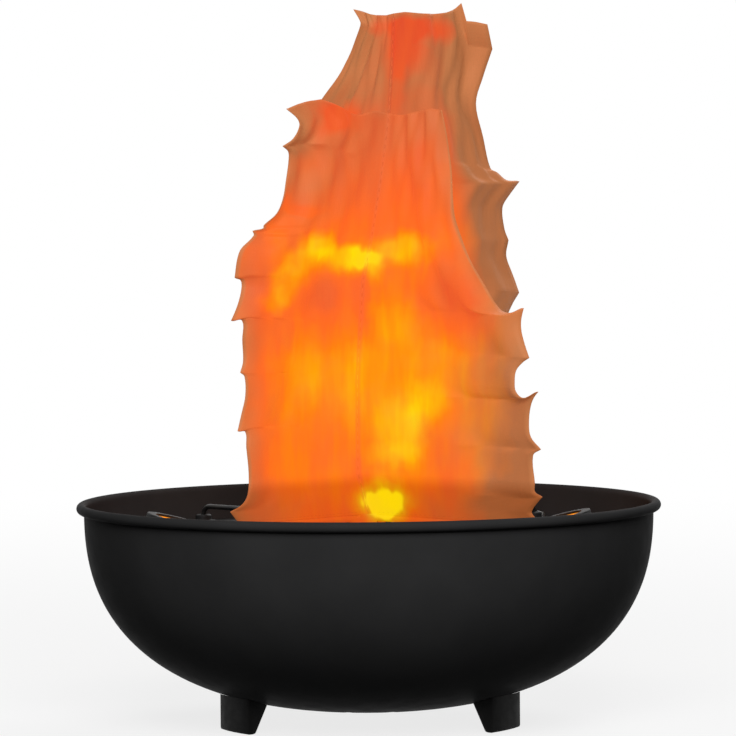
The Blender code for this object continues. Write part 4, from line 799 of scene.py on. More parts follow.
        # Painted shade: clouds of shade.
        size, gain = self.cloud
        painted_shade = nodes.math("ADD", painted_shade, nodes.span(nodes.noise(where, size), (0.35, 0.65), (-gain, gain)))
        # Painted shade: the outer part of a wing and its free edge are darker.
        start, end, gain = self.outer_painted_shade
        painted_shade = nodes.math("ADD", painted_shade, nodes.span(out, (start, end), (0.0, gain), True))
        painted_shade = nodes.math("MAXIMUM", painted_shade, nodes.span(out, self.edge_reach, (0.0, self.edge_painted_shade), True))
        return painted_light, nodes.math("MAXIMUM", nodes.math("MINIMUM", painted_shade, 1.0), 0.0)

    def material(self) -> bpy.types.Material:
        """The silk's material.

        Returns:
            A Principled material whose emission paints light in the fields' colours. Its foot has painted
            shade, darker up to a height, except where the painted light is strongest. Its relief is a plain
            weave over creases that are stretched upwards.
        """
        nodes = Nodes(bpy.data.materials.new(self.name))
        where = nodes.place()
        painted_light, painted_shade = self.fields(nodes, where)
        # Painted shade: the foot is darker up to a height, lifted where the painted light is strongest.
        above = nodes.span(nodes.axis(where, "Z"), self.foot_span, smooth=True)
        clear = nodes.math("MAXIMUM", above, nodes.span(painted_light, self.foot_clear, (0.0, 0.9)))
        foot_shade = nodes.mix(clear, self.foot_painted_shade, (1.0, 1.0, 1.0))
        # Painted light: the glow's colour follows the painted light level; painted shade turns glow and dye
        # brown.
        glow = nodes.mix(painted_shade, nodes.ramp(painted_light, self.glow), self.shaded_glow)
        dye_and_painted_shade = nodes.mix(painted_shade, self.lit_dye, self.shaded_dye)
        flat = nodes.uv("cloth")
        weave = nodes.math("MULTIPLY", *[nodes.wave(flat, self.weave, 0.4, way) for way in ("X", "Y")])
        crease = nodes.noise(nodes.place((1.0, 1.0, 0.35)), self.crease)
        relief = nodes.math("MULTIPLY_ADD", weave, 0.12, crease)
        rough = nodes.span(weave, (0.0, 1.0), (0.55, 0.68))
        # Painted light: the emission makes the silk glow as if lit from below; the base colour carries
        # painted shade.
        return nodes.shade(Base_Color=nodes.vector("MULTIPLY", foot_shade, dye_and_painted_shade),
                           Emission_Color=nodes.vector("MULTIPLY", foot_shade, glow),
                           Emission_Strength=self.strength, Roughness=rough, Specular_IOR_Level=0.10,
                           Sheen_Weight=0.03, Sheen_Roughness=0.4, Sheen_Tint=(*self.sheen, 1.0),
                           Normal=nodes.bump(relief, self.relief, 0.6))


# Pieces


@dataclass
class SubAssembly:
    """What all sub-assemblies share: they put finished pieces on a body and report them."""

    def add(self, name: str, surfaces: Sequence[Surface], finish: Any, slot: Slot, body: Body = Body.LIGHT,
            stands_for: str = "", smooth_angle: float = PLAIN_ANGLE, closed: bool = True) -> bpy.types.Object:
        """Makes one piece.

        Args:
            name: The piece's name.
            surfaces: What its mesh is made of.
            finish: Its material, or what makes it.
            slot: The record's slot of that finish.
            body: The body it rides on.
            stands_for: The CAD node it is shown instead of.
            smooth_angle: Edges sharper than this many degrees stay sharp.
            closed: Whether its mesh has an inside.

        Returns:
            The piece's object.
        """
        mesh = mesh_of(name, surfaces, smooth_angle, closed)
        return self.present(name, mesh, finish, slot, body, stands_for)

    def present(self, name: str, mesh: bpy.types.Mesh, finish: Any, slot: Slot, body: Body = Body.LIGHT,
                stands_for: str = "") -> bpy.types.Object:
        """Puts a finished mesh on its body with its material.

        Args:
            name: The piece's name.
            mesh: Its mesh.
            finish: Its material, or what makes it.
            slot: The record's slot of that finish; not used.
            body: The body it rides on.
            stands_for: The CAD node it is shown instead of.

        Returns:
            The piece's object.
        """
        piece = placed(name, mesh)
        mesh.materials.clear()
        mesh.materials.append(finish if isinstance(finish, bpy.types.Material) else finish.material())
        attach(piece, body.value)
        if stands_for:
            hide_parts(stands_for)
        LOG.info("%s: %d faces on %s", name, len(mesh.polygons), body.value)
        return piece


@dataclass
class Bowl(SubAssembly):
    """The spun bowl: a superellipse turned round Z with a rolled bead as its rim."""

    rim_radius: float = 0.140
    bead: float = 0.0024
    depth: float = 0.0973
    lift: float = 0.0070
    wall: float = 0.0012
    fullness: float = 2.46
    segments: int = 224
    slots: int = 12
    slot_start: float = 0.021
    slot_length: float = 0.027
    slot_width: float = 0.0055
    slot_reach: Pair = (-0.01, 0.02)

    @property
    def rim_height(self) -> float:
        """The height of the bead's middle."""
        return self.lift + self.depth

    @property
    def wall_radius(self) -> float:
        """The wall's radius under the bead."""
        return self.rim_radius - 2 * self.bead + self.wall

    def section(self, dip: Any, inset: float = 0.0) -> Array:
        """Radius and height where the wall's outward normal dips this far below the horizon.

        Args:
            dip: Angles in radians, from 0 at the rim to a quarter turn at the bottom.
            inset: How far inside the outer surface, along the normal.

        Returns:
            Rows of radius and height on the superellipse (r / R)^n + (d / D)^n = 1.
        """
        dip = np.atleast_1d(np.asarray(dip, float))
        cosine, sine = np.cos(dip).clip(1e-12), np.sin(dip)
        power = 1 / (self.fullness - 1)
        across, down = self.wall_radius * cosine, self.depth * sine
        size = (across ** (power + 1) + down ** (power + 1)) ** (1 / self.fullness)
        radius = self.wall_radius * across**power / size - inset * cosine
        height = self.rim_height - self.depth * down**power / size + inset * sine
        return np.stack([radius, height], axis=1)

    def dips(self, count: int) -> Array:
        """Angles from the rim to the bottom, closer together at both ends."""
        return QUARTER * smooth_step(np.linspace(0, 1, count + 1), 0, 1)

    def frame_at(self, azimuth: float, height: float) -> Matrix:
        """A frame on the wall's outside.

        Args:
            azimuth: Where round the bowl.
            height: How high over the floor.

        Returns:
            The frame, whose X runs sideways, Y up the wall and Z out of it.
        """
        dips = np.linspace(0, QUARTER, 4000)
        dip = float(np.interp(-height, -self.section(dips)[:, 1], dips))
        radius, sine, cosine = self.section(dip)[0, 0], math.sin(dip), math.cos(dip)
        axes = ((1, 0, 0, 0), (0, -sine, -cosine, -radius), (0, cosine, -sine, height), (0, 0, 0, 1))
        return turn(azimuth) @ Matrix(axes)

    def profile(self) -> Array:
        """The bowl's section.

        Returns:
            Rows of radius and height, from the inner bottom up, over the bead and down the outside.
        """
        inner = self.section(self.dips(40)[::-1], self.wall)[:-1]
        outer = self.section(self.dips(56))[1:]
        inner[0, 0] = outer[-1, 0] = 0.0
        centre = self.rim_radius - self.bead
        last = -math.degrees(math.acos((self.wall_radius - centre) / self.bead))
        return rows(inner, arc((centre, self.rim_height), self.bead, 180, last, 22), outer)

    def slot_tools(self) -> list[Surface]:
        """What cuts the air slots.

        Returns:
            Round-ended bars: a stadium outline between two heights, turned to each slot's azimuth.
        """
        half, reach = self.slot_width / 2, self.slot_length / 2 - self.slot_width / 2
        outline = rows(arc((0.0, reach), half, 0, 180, 12), arc((0.0, -reach), half, 180, 360, 12))
        bar = prism(outline, *[self.lift + height for height in self.slot_reach])
        bar = bar.moved(Matrix.Translation((0, -self.slot_start - self.slot_length / 2, 0)))
        return [bar.moved(turn(azimuth)) for azimuth in around(self.slots, 180 / self.slots)]

    def build(self, holes: Sequence[Surface]) -> None:
        """Turns the bowl and cuts its air slots and the holes for its controls.

        Args:
            holes: What cuts the holes.
        """
        shell = revolve(self.profile(), self.segments)
        piece = self.add("bowl_shell", [shell], PAINT, Slot.BLACK_PAINT, stands_for="bowl")
        carve(piece, self.slot_tools())
        carve(piece, holes)


@dataclass(frozen=True)
class Screw:
    """A pan-head screw with a cross recess and a thread. What isn't a length is a share of the head."""

    head: float
    crown: float
    shank: float
    length: float
    pitch: float = 0.0007
    thread_depth: float = 0.13
    arm_width: float = 0.15
    arm_reach: float = 0.56
    recess_depth: float = 0.55
    flatness: float = 2.4
    columns: int = 40

    def surface(self) -> Surface:
        """The screw standing on its head's seat at the origin, its shank running down.

        Returns:
            The head is a flattened dome over the radius r, less a recess where the smaller of |x| and |y| is
            inside an arm's width and the larger inside its reach. The shank's radius follows a wave that
            climbs one pitch a turn.
        """
        angle = np.linspace(0, 2 * math.pi, self.columns, endpoint=False)[None, :]
        flat = np.zeros_like(angle)
        share = np.concatenate([np.linspace(0, 0.62, 15), np.linspace(0.70, 1.0, 8)])[:, None]
        x, y = np.abs(share * np.cos(angle)), np.abs(share * np.sin(angle))
        across = smooth_step(self.arm_width - np.minimum(x, y), 0, 0.07)
        recess = across * smooth_step(self.arm_reach - np.maximum(x, y), 0, 0.08)
        dome = 0.50 + 0.50 * np.sqrt(np.clip(1 - share**self.flatness, 0, 1))
        top = self.crown * (dome - self.recess_depth * recess)
        run = self.length - self.shank
        down = np.linspace(0, run, 4 * max(3, round(run / self.pitch)) + 1)[:, None]
        wave = 0.5 + 0.5 * np.cos(2 * math.pi * down / self.pitch + angle)
        thread = self.shank * (1 - self.thread_depth * wave * smooth_step(down, 0, self.pitch))
        radius = np.concatenate([self.head * share + flat, self.head + flat, thread, flat])
        height = np.concatenate([top, flat, flat - down, flat - self.length])
        return grid(np.stack([radius * np.cos(angle), radius * np.sin(angle), height], axis=2), True)

    def standing(self, azimuth: float, circle: float, height: float, side: float = 0.0) -> Surface:
        """The screw set down at an azimuth, a distance from Z, an offset to its right and a height."""
        return self.surface().moved(turn(azimuth) @ Matrix.Translation((side, -circle, height)))


@dataclass
class Deck(SubAssembly):
    """What the deck's top shows: its screws. The plate and brackets are the frame's own nodes."""

    screw_circle: float = 0.1262880
    brackets: tuple[float, ...] = around(3, 18.5)
    bracket_screw: Screw = Screw(head=0.0045, crown=0.0036, shank=0.0019, length=0.0080)
    driver_azimuth: float = math.radians(225)
    driver_circle: float = 0.1000
    driver_offset: float = 0.0180
    driver_screw: Screw = Screw(head=0.0026, crown=0.0018, shank=0.0014, length=0.0072)

    def build(self) -> None:
        """Makes the deck's three screws and the driver's two."""
        for k, azimuth in enumerate(self.brackets, 1):
            made = self.bracket_screw.standing(azimuth, self.screw_circle, DECK_TOP + SEAT_GAP)
            self.add(f"deck_pan_screw_{k}", [made], ZINC_PLATE, Slot.ZINC, stands_for=f"deck_screw_{k}")
        seat = DECK_TOP + SEAT_GAP / 3
        pair = [self.driver_screw.standing(self.driver_azimuth, self.driver_circle, seat, side)
                for side in (-self.driver_offset, self.driver_offset)]
        self.add("driver_screws", pair, ZINC_PLATE, Slot.ZINC)


@dataclass
class Fan(SubAssembly):
    """The fan's wheel, and the wire guard that is screwed down over it.

    A blade's pitches in degrees and its chords are given at its root and its tip.
    """

    middle: float = 0.0748
    bore: float = 0.0580
    tip_gap: float = 0.0015
    hub_radius: float = 0.0205
    hub_wall: float = 0.0015
    hub_low: float = 0.0650
    hub_high: float = 0.0853
    hub_floor: float = 0.0018
    hub_edge: float = 0.0003
    boss_bore: float = 0.0018
    boss_wall: float = 0.0012
    boss_height: float = 0.0058
    blades: int = 7
    blade_sheet: float = 0.0014
    pitches: Pair = (50.0, 27.0)
    chords: Pair = (0.0200, 0.0330)
    camber: float = 0.0026
    sweep_angle: float = 0.22
    wire: float = 0.0010
    rings: tuple[float, ...] = (0.0160, 0.0290, 0.0420, 0.0550)
    guard_height: float = 0.0055
    spoke_wire: float = 0.0009
    spoke_drop: float = 0.0014
    spoke_start: float = 0.0140
    spoke_bends: Pair = (0.0580, 0.0630)
    spoke_rounding: float = 0.003
    spoke_overlap: float = 0.0032
    eye_bore: float = 0.0022
    eye_radius: float = 0.0046
    eye_rounding: float = 0.0005
    eye_sheet: float = 0.0016
    screw: Screw = Screw(head=0.0038, crown=0.0026, shank=0.0019, length=0.0105)
    screw_circle: float = 0.105 / math.sqrt(2)
    corners: tuple[float, ...] = around(4, 45)

    def blade_middle(self, out: Array, share: Array) -> Array:
        """A blade's middle surface.

        Args:
            out: Shares of the way from the hub to the tip.
            share: Shares of the chord, from -0.5 at the leading edge to 0.5 at the trailing edge.

        Returns:
            Points of a surface that is cambered, and twists from steep at the hub to shallow at the tip.
        """
        radius = between((self.hub_radius - self.hub_wall / 2, self.bore - self.tip_gap), out)
        pitch = np.radians(between(self.pitches, out))
        chord = share * between(self.chords, out)
        camber = self.camber * (1 - 4 * share * share)
        along = chord * np.cos(pitch) + camber * np.sin(pitch)
        rise = chord * np.sin(pitch) - camber * np.cos(pitch)
        return at(along / radius + self.sweep_angle * out, radius, self.middle + rise)

    def blade(self) -> Surface:
        """One blade: rows run out along it and columns round its section, whose edges are round.

        Returns:
            The middle surface moved to each side along its normal by a half thickness that falls to nothing
            at the leading and trailing edges and at the tip.
        """
        out = np.linspace(0, 1, 17)[:, None]
        share = 0.5 * np.sin(np.linspace(-QUARTER, QUARTER, 25))[None, :]
        middle = self.blade_middle(out, share)
        normal = unit(np.cross(np.gradient(middle, axis=0), np.gradient(middle, axis=1)))
        thinning = (1 - (2 * np.abs(share)) ** 6) * smooth_step(1.02 - out, 0.0, 0.03)
        offset = normal * (self.blade_sheet / 2 * np.sqrt(thinning))[..., None]
        loop = np.concatenate([middle + offset, (middle - offset)[:, -2:0:-1]], axis=1)
        foot, tip = [np.concatenate([row, row[:, -2:0:-1]], axis=1) for row in (middle[:1], middle[-1:])]
        return grid(np.concatenate([foot, loop, tip]), True)

    def hub(self) -> Surface:
        """The wheel's hub.

        Returns:
            A turned cup with a round lower edge, open at the top where the motor sits.
        """
        low, outside, inside = self.hub_low, self.hub_radius, self.hub_radius - self.hub_wall
        edge, lip = self.hub_edge, self.hub_high - self.hub_edge
        boss, ring = self.boss_bore, self.boss_bore + self.boss_wall
        floor, boss_top = low + self.hub_floor, low + self.boss_height
        return revolve(rows((0.0, floor), (boss, floor), (boss, boss_top), (ring, boss_top), (ring, floor),
                            (inside, floor), (inside, lip), arc((inside + edge, lip), edge, 180, 90, 4),
                            arc((outside - edge, lip), edge, 90, 0, 4),
                            arc((outside - 4 * edge, low + 4 * edge), 4 * edge, 0, -90, 8), (0.0, low)), 96)

    def guard(self) -> list[Surface]:
        """The wire guard.

        Returns:
            Rings, four spokes bent down to the deck, and a pressed eye at each spoke's end.
        """
        plane, low = DECK_TOP + self.guard_height, DECK_TOP + SEAT_GAP
        spoke, foot, half = plane - self.spoke_drop, low + self.eye_sheet / 2, self.eye_sheet / 2
        round_wire = arc((0.0, 0.0), self.wire, 0, 345, 14)
        made = [revolve(round_wire + np.array([radius, plane]), 128, True) for radius in self.rings]
        line = np.array([(self.spoke_start, spoke), (self.spoke_bends[0], spoke), (self.spoke_bends[1], foot),
                         (self.screw_circle - self.spoke_overlap, foot)])
        high, shoulder = low + self.eye_sheet, self.eye_radius - self.eye_rounding
        eye = rows((self.eye_bore, low), (self.eye_bore, high), (shoulder, high),
                   arc((shoulder, foot), half, 90, -90, 9))
        eye = revolve(eye, 40, True).moved(Matrix.Translation((0, -self.screw_circle, 0)))
        for azimuth in self.corners:
            route = rounded_line(at(azimuth, line[:, 0], line[:, 1]), self.spoke_rounding, 8)
            made += [tube(route, self.spoke_wire, 14, sideways(azimuth)), eye.moved(turn(azimuth))]
        return made

    def build(self) -> None:
        """Makes the wheel, the guard and the guard's screws."""
        blade = self.blade()
        wheel = [self.hub()] + [blade.moved(turn(azimuth)) for azimuth in around(self.blades)]
        self.add("fan_wheel", wheel, PLASTIC, Slot.BLACK_PLASTIC, Body.IMPELLER, "fan_rotor")
        self.add("wire_guard", self.guard(), STEEL_WIRE, Slot.WIRE_STEEL, stands_for="fan_guard")
        seat = DECK_TOP + 2 * SEAT_GAP + self.eye_sheet
        for k, azimuth in enumerate(self.corners, 1):
            made = self.screw.standing(azimuth, self.screw_circle, seat)
            self.add(f"guard_screw_{k}", [made], ZINC_PLATE, Slot.ZINC, stands_for=f"fan_screw_{k}")


@dataclass
class Lamps(SubAssembly):
    """The four lamp heads round the fan: collar, lens and two small screws each.

    What isn't a length is a share of the lens's radius: where its rings start and end, and how wide its
    shoulder, its neck and its foot are.
    """

    circle: float = 0.0920
    tilt: float = math.radians(15)
    radius: float = 0.0145
    collar_wall: float = 0.0020
    collar_top: float = 0.0080
    collar_drop: float = 0.0080
    collar_edge: float = 0.0006
    lip: float = 0.0010
    lip_width: float = 0.0022
    base_radius: float = 0.0265
    base_sheet: float = 0.0020
    base_edge: float = 0.0005
    bore_edge: float = 0.0002
    bore_drop: float = 0.04
    bore_rise: float = 0.016
    hole_reach: float = 0.005
    lens_depth: float = 0.0088
    lens_step: float = 0.0012
    chip_radius: float = 0.0036
    chip_hollow: float = 0.0030
    teeth: int = 7
    tooth_depth: float = 0.00035
    tooth_start: float = 0.12
    ridged: float = 0.84
    lens_shares: tuple[float, ...] = (0.86, 0.90, 0.60)
    screw: Screw = Screw(head=0.0026, crown=0.0018, shank=0.0014, length=0.0065)
    screw_bore: float = 0.0017
    screw_offset: float = 0.0215
    azimuths: tuple[float, ...] = around(4)

    def frame_at(self, azimuth: float) -> Matrix:
        """A lamp's frame: its origin on the deck's top, Z along the beam, leaning to the middle."""
        stand = Matrix.Translation((0, -self.circle, DECK_TOP))
        return turn(azimuth) @ stand @ Matrix.Rotation(-self.tilt, 4, "X")

    def disc(self, radius: float, low: float, high: float, edge: float) -> Surface:
        """A closed round block with rounded edges."""
        return revolve(rows((0.0, low), arc((radius - edge, low + edge), edge, -90, 0, 6),
                            arc((radius - edge, high - edge), edge, 0, 90, 6), (0.0, high)), 96)

    def collar(self) -> bpy.types.Mesh:
        """The front lamp's collar.

        Returns:
            The mesh of a base and a tilted sleeve made one, bored out, with a lip over the lens.
        """
        leaning = self.frame_at(0.0)
        low, bore, edge = DECK_TOP + SEAT_GAP, self.radius + SEAT_GAP, self.bore_edge
        base = self.disc(self.base_radius, low, low + self.base_sheet, self.base_edge)
        sleeve = self.disc(bore + self.collar_wall, -self.collar_drop, self.collar_top, self.collar_edge)
        seat = self.disc(bore, -self.bore_drop, self.collar_top - self.lip, edge)
        window = self.disc(bore - self.lip_width, 0.0, self.bore_rise, edge)
        hole = self.disc(self.screw_bore, DECK_TOP - self.hole_reach, DECK_TOP + self.hole_reach, edge)
        holes = [hole.moved(Matrix.Translation((side * self.screw_offset, -self.circle, 0)))
                 for side in (-1, 1)]
        piece = placed("collar", mesh_of("collar", [base.moved(Matrix.Translation((0, -self.circle, 0)))]))
        carve(piece, [sleeve.moved(leaning)], "UNION")
        for tools in ([seat.moved(leaning)], [window.moved(leaning)], holes):
            carve(piece, tools)
        mesh = piece.data
        bpy.data.objects.remove(piece, do_unlink=True)
        return mesh

    def lens(self) -> Surface:
        """A lens, in its lamp's frame.

        Returns:
            A turned block with ridged rings on top, where its height falls by a saw-tooth of the radius, one
            tooth a ring, and a hollow over the chip.
        """
        top, chip = self.collar_top - self.lip - SEAT_GAP, self.chip_radius
        low, step = top - self.lens_depth, top - self.lens_step
        shoulder, neck, foot = [share * self.radius for share in self.lens_shares]
        share = np.linspace(0, self.ridged, 8 * self.teeth + 1)
        tooth = (share / self.ridged * self.teeth) % 1.0 * (share > self.tooth_start)
        face = np.stack([self.radius * share, top - self.tooth_depth * tooth], axis=1)
        profile = rows(face, (shoulder, top), (self.radius, top), (self.radius, step), (neck, step),
                       (foot, low), (chip, low), (chip, low + self.chip_hollow),
                       arc((0.0, low + chip / 2), chip, 20, 90, 6))
        profile[-1, 0] = 0.0
        return revolve(profile, 96)

    def build(self) -> None:
        """Makes the four collars, lenses and pairs of screws."""
        collar, lens = self.collar(), self.lens()
        top = Vector((0, 0, self.collar_top))
        middles = tuple(tuple(self.frame_at(azimuth) @ top) for azimuth in self.azimuths)
        glass = LitLens("lit_amber_lens", middles, self.radius).material()
        seat = DECK_TOP + SEAT_GAP + self.base_sheet + SEAT_GAP / 3
        for k, azimuth in enumerate(self.azimuths, 1):
            mesh = collar.copy()
            mesh.transform(turn(azimuth))
            self.present(f"lamp_bezel_{k}", mesh, PLASTIC, Slot.BLACK_PLASTIC, stands_for=f"lamp_collar_{k}")
            self.add(f"ringed_lens_{k}", [lens.moved(self.frame_at(azimuth))], glass, Slot.AMBER_LENS,
                     stands_for=f"lamp_lens_{k}", smooth_angle=18)
            pair = [self.screw.standing(azimuth, self.circle, seat, side)
                    for side in (-self.screw_offset, self.screw_offset)]
            self.add(f"lamp_screws_{k}", pair, ZINC_PLATE, Slot.ZINC)


def rod_drop(along: Array, dip: float) -> Array:
    """How far a rod runs below its height near the middle, where it passes under the other rod."""
    return dip * smooth_step(DIP_START - along, 0.0, DIP_RUN)


@dataclass
class SilkFrame(SubAssembly):
    """The two crossed rods that carry the silk, and the cups that hold their ends in the deck."""

    reach: float = 0.115988
    bend: float = 0.0045
    upright_end: float = 0.001
    run_start: float = 0.004
    run_end: float = 0.0150
    cup_radius: float = 0.0040
    cup_rise: float = 0.0045
    cup_drop: float = 0.0050
    cup_floor: float = 0.0012
    flange_radius: float = 0.0060
    flange_sheet: float = 0.0014
    mouth_edge: float = 0.0003
    top_edge: float = 0.0010
    fillet: float = 0.0006
    flange_edge: float = 0.0005
    foot_edge: float = 0.0004
    azimuths: tuple[float, ...] = around(4, 45)

    def rod(self, azimuth: float, dip: float) -> Surface:
        """One of the two rods.

        Args:
            azimuth: Where its first end stands.
            dip: How far it runs lower at its middle.

        Returns:
            A wire that comes up out of one cup, crosses the bowl and goes down into the other cup.
        """
        foot = DECK_TOP - self.cup_drop + self.cup_floor + SEAT_GAP
        turns = np.radians(np.linspace(0, 90, 9))
        start = at(azimuth, self.reach, np.array([foot, ROD_HEIGHT - self.bend - self.upright_end]))
        bend = at(azimuth, self.reach - self.bend * (1 - np.cos(turns)),
                  ROD_HEIGHT - self.bend * (1 - np.sin(turns)))
        along = np.linspace(self.reach - self.bend - self.run_start, self.run_end, 24)
        along = np.concatenate([along, np.linspace(DIP_START, 0.0, 15)])
        half = np.concatenate([start, bend, at(azimuth, along, ROD_HEIGHT - rod_drop(along, dip))])
        other = half[-2::-1] * np.array([-1, -1, 1])
        return tube(np.concatenate([half, other]), ROD_RADIUS, 20, sideways(azimuth))

    def cup(self) -> Surface:
        """A moulded cup, standing on Z.

        Returns:
            A turned cup with a flange on the deck and a bore for the rod's end.
        """
        low, seat, top = DECK_TOP - self.cup_drop, DECK_TOP + SEAT_GAP, DECK_TOP + self.cup_rise
        bore, radius, flange = ROD_RADIUS + SEAT_GAP, self.cup_radius, self.flange_radius
        floor, sheet = low + self.cup_floor, seat + self.flange_sheet
        mouth, edge, rim, under = self.mouth_edge, self.top_edge, self.flange_edge, self.foot_edge
        return revolve(rows((0.0, floor), (bore, floor), (bore, top - mouth), (bore + mouth, top),
                            arc((radius - edge, top - edge), edge, 90, 0, 7), (radius, sheet + self.fillet),
                            arc((radius + self.fillet, sheet + self.fillet), self.fillet, 180, 270, 5),
                            arc((flange - rim, sheet - rim), rim, 90, 0, 5), (flange, seat), (radius, seat),
                            (radius, low + under), (radius - under, low), (0.0, low)), 48)

    def build(self) -> None:
        """Makes both rods and the four cups."""
        for name, azimuth, dip in zip(("upper", "lower"), self.azimuths, (0.0, ROD_DIP)):
            self.add(f"rod_{name}_wire", [self.rod(azimuth, dip)], BLACK_WIRE, Slot.WIRE_STEEL,
                     stands_for=f"silk_rod_{name}")
        for k, azimuth in enumerate(self.azimuths, 1):
            made = self.cup().moved(Matrix.Translation(Vector(at(azimuth, self.reach, 0.0))))
            self.add(f"rod_cup_{k}", [made], PLASTIC, Slot.BLACK_PLASTIC, stands_for=f"rod_socket_{k}")


@dataclass(frozen=True)
class Wing:
    """Half of a silk sheet: its free edge and its top in flame units, and how it folds.

    Corners say how far right of the middle a place is seen and how high above the rods it stands: the edge's
    from the rod up, the top's from the seam out. A claw is a tip that curls: its place before it does, and
    how far up it goes.
    """

    name: str
    azimuth: float
    side: int
    phase: float
    edge: Line
    top: Line
    claws: tuple[Colour, ...] = ()


FRONT_LEFT = Wing("front_left", math.radians(315), -1, 0.3, (
    (-60, 0), (-64.5, 6.5), (-59, 9.5), (-56.5, 14), (-56, 24), (-57, 36), (-57.5, 44), (-61, 45.2),
    (-59, 52), (-57.2, 60), (-57.5, 69), (-59.5, 71), (-58.2, 76), (-58.5, 86), (-58.5, 95.8), (-63.5, 97.3),
    (-60.5, 103), (-58.8, 110), (-59, 115), (-61.5, 116.8), (-60.5, 124), (-58.5, 129), (-53, 134),
    (-53.5, 136), (-48.5, 137.8), (-48, 139.5), (-42, 145), (-39, 152), (-37.5, 161), (-36.3, 170),
    (-36.5, 174), (-39, 176.5), (-34, 180), (-31, 186), (-32, 189.5), (-37, 194)),
    ((11, 192), (4, 193.2), (-4, 191.2), (-13, 195.5), (-21, 198.6), (-29, 197.2), (-37, 194)),
    ((-61, 45.2, -1.6), (-63.5, 97.3, -2.0), (-61.5, 116.8, -1.6), (-53.5, 136, 1.0)))
FRONT_RIGHT = Wing("front_right", math.radians(45), -1, 2.2, (
    (77, 0), (77.5, 3), (75.5, 6.5), (80.5, 12.5), (77, 15.5), (76.8, 20), (76, 33), (79.5, 36), (75, 41.5),
    (74.2, 48.5), (75.3, 55.5), (78.5, 58.6), (71.5, 59.2), (68.3, 62.5), (67.8, 66.5), (68.5, 72),
    (71.5, 75.8), (74.6, 78), (72.2, 86), (71, 92.5), (72.2, 97), (66.8, 97.5), (61.8, 100), (55.5, 110),
    (49, 121.5), (45, 132), (41.7, 143), (40.8, 153), (40.5, 164), (39.3, 175), (37.8, 184.5), (36, 193)),
    ((11, 192), (17, 191), (24, 192.5), (31, 194), (36, 193)),
    ((78.5, 58.6, 4.0), (72.2, 97, 3.8), (80.5, 12.5, 1.2)))
BACK_LEFT = Wing("back_left", math.radians(225), 1, 1.2, (
    (-60, 0), (-57, 10), (-54, 20), (-57, 31), (-50, 40), (-48, 55), (-55, 66), (-49, 74), (-50, 88),
    (-46, 98), (-52, 108), (-44, 116), (-41, 130), (-42, 143), (-36, 152), (-35, 165), (-36, 176), (-28, 188),
    (-21, 199.5), (-15.7, 206.5), (-12.5, 211), (-10, 215.5), (-7, 221.5), (-4.5, 228), (-2.3, 234),
    (-2.2, 236), (-5.5, 242)),
    ((13.7, 239.5), (10, 238.8), (3.4, 239.4), (-1.1, 241), (-5.5, 242)))
BACK_RIGHT = Wing("back_right", math.radians(135), 1, 3.6, (
    (73, 0), (75, 9), (66, 18), (69, 30), (62, 38), (64, 52), (68, 62), (63, 72), (66, 84), (70, 94),
    (75.5, 104.5), (71.5, 114), (68.8, 122), (70, 129.5), (68, 135), (67, 145.5), (70, 151), (75.5, 157),
    (69, 159), (64.3, 163), (61, 165), (57.4, 180.5), (53.8, 196.7), (57.4, 209.8), (62, 223.2), (59.5, 235)),
    ((13.7, 239.5), (19.2, 240.4), (30.4, 239.7), (39.4, 240.6), (44, 243), (47.6, 246.5), (48.6, 237.2),
     (53, 236.4), (59.5, 235)),
    ((75.5, 157, 1.4), (75.5, 104.5, -1.2)))


@dataclass(frozen=True)
class Cut:
    """One of the two sheets: its two wings, the seam's height at its top in flame units, and its finish."""

    name: str
    wings: tuple[Wing, Wing]
    top: float
    finish: LitSilk


# Painted shade: each sheet's third number is how its outer part darkens.
FRONT = Cut("front", (FRONT_LEFT, FRONT_RIGHT), 192.0, LitSilk("lit_silk_front", (0.84, 1.0, 0.20)))
BACK = Cut("back", (BACK_LEFT, BACK_RIGHT), 239.5, LitSilk("lit_silk_back", (0.52, 0.84, 0.80)))


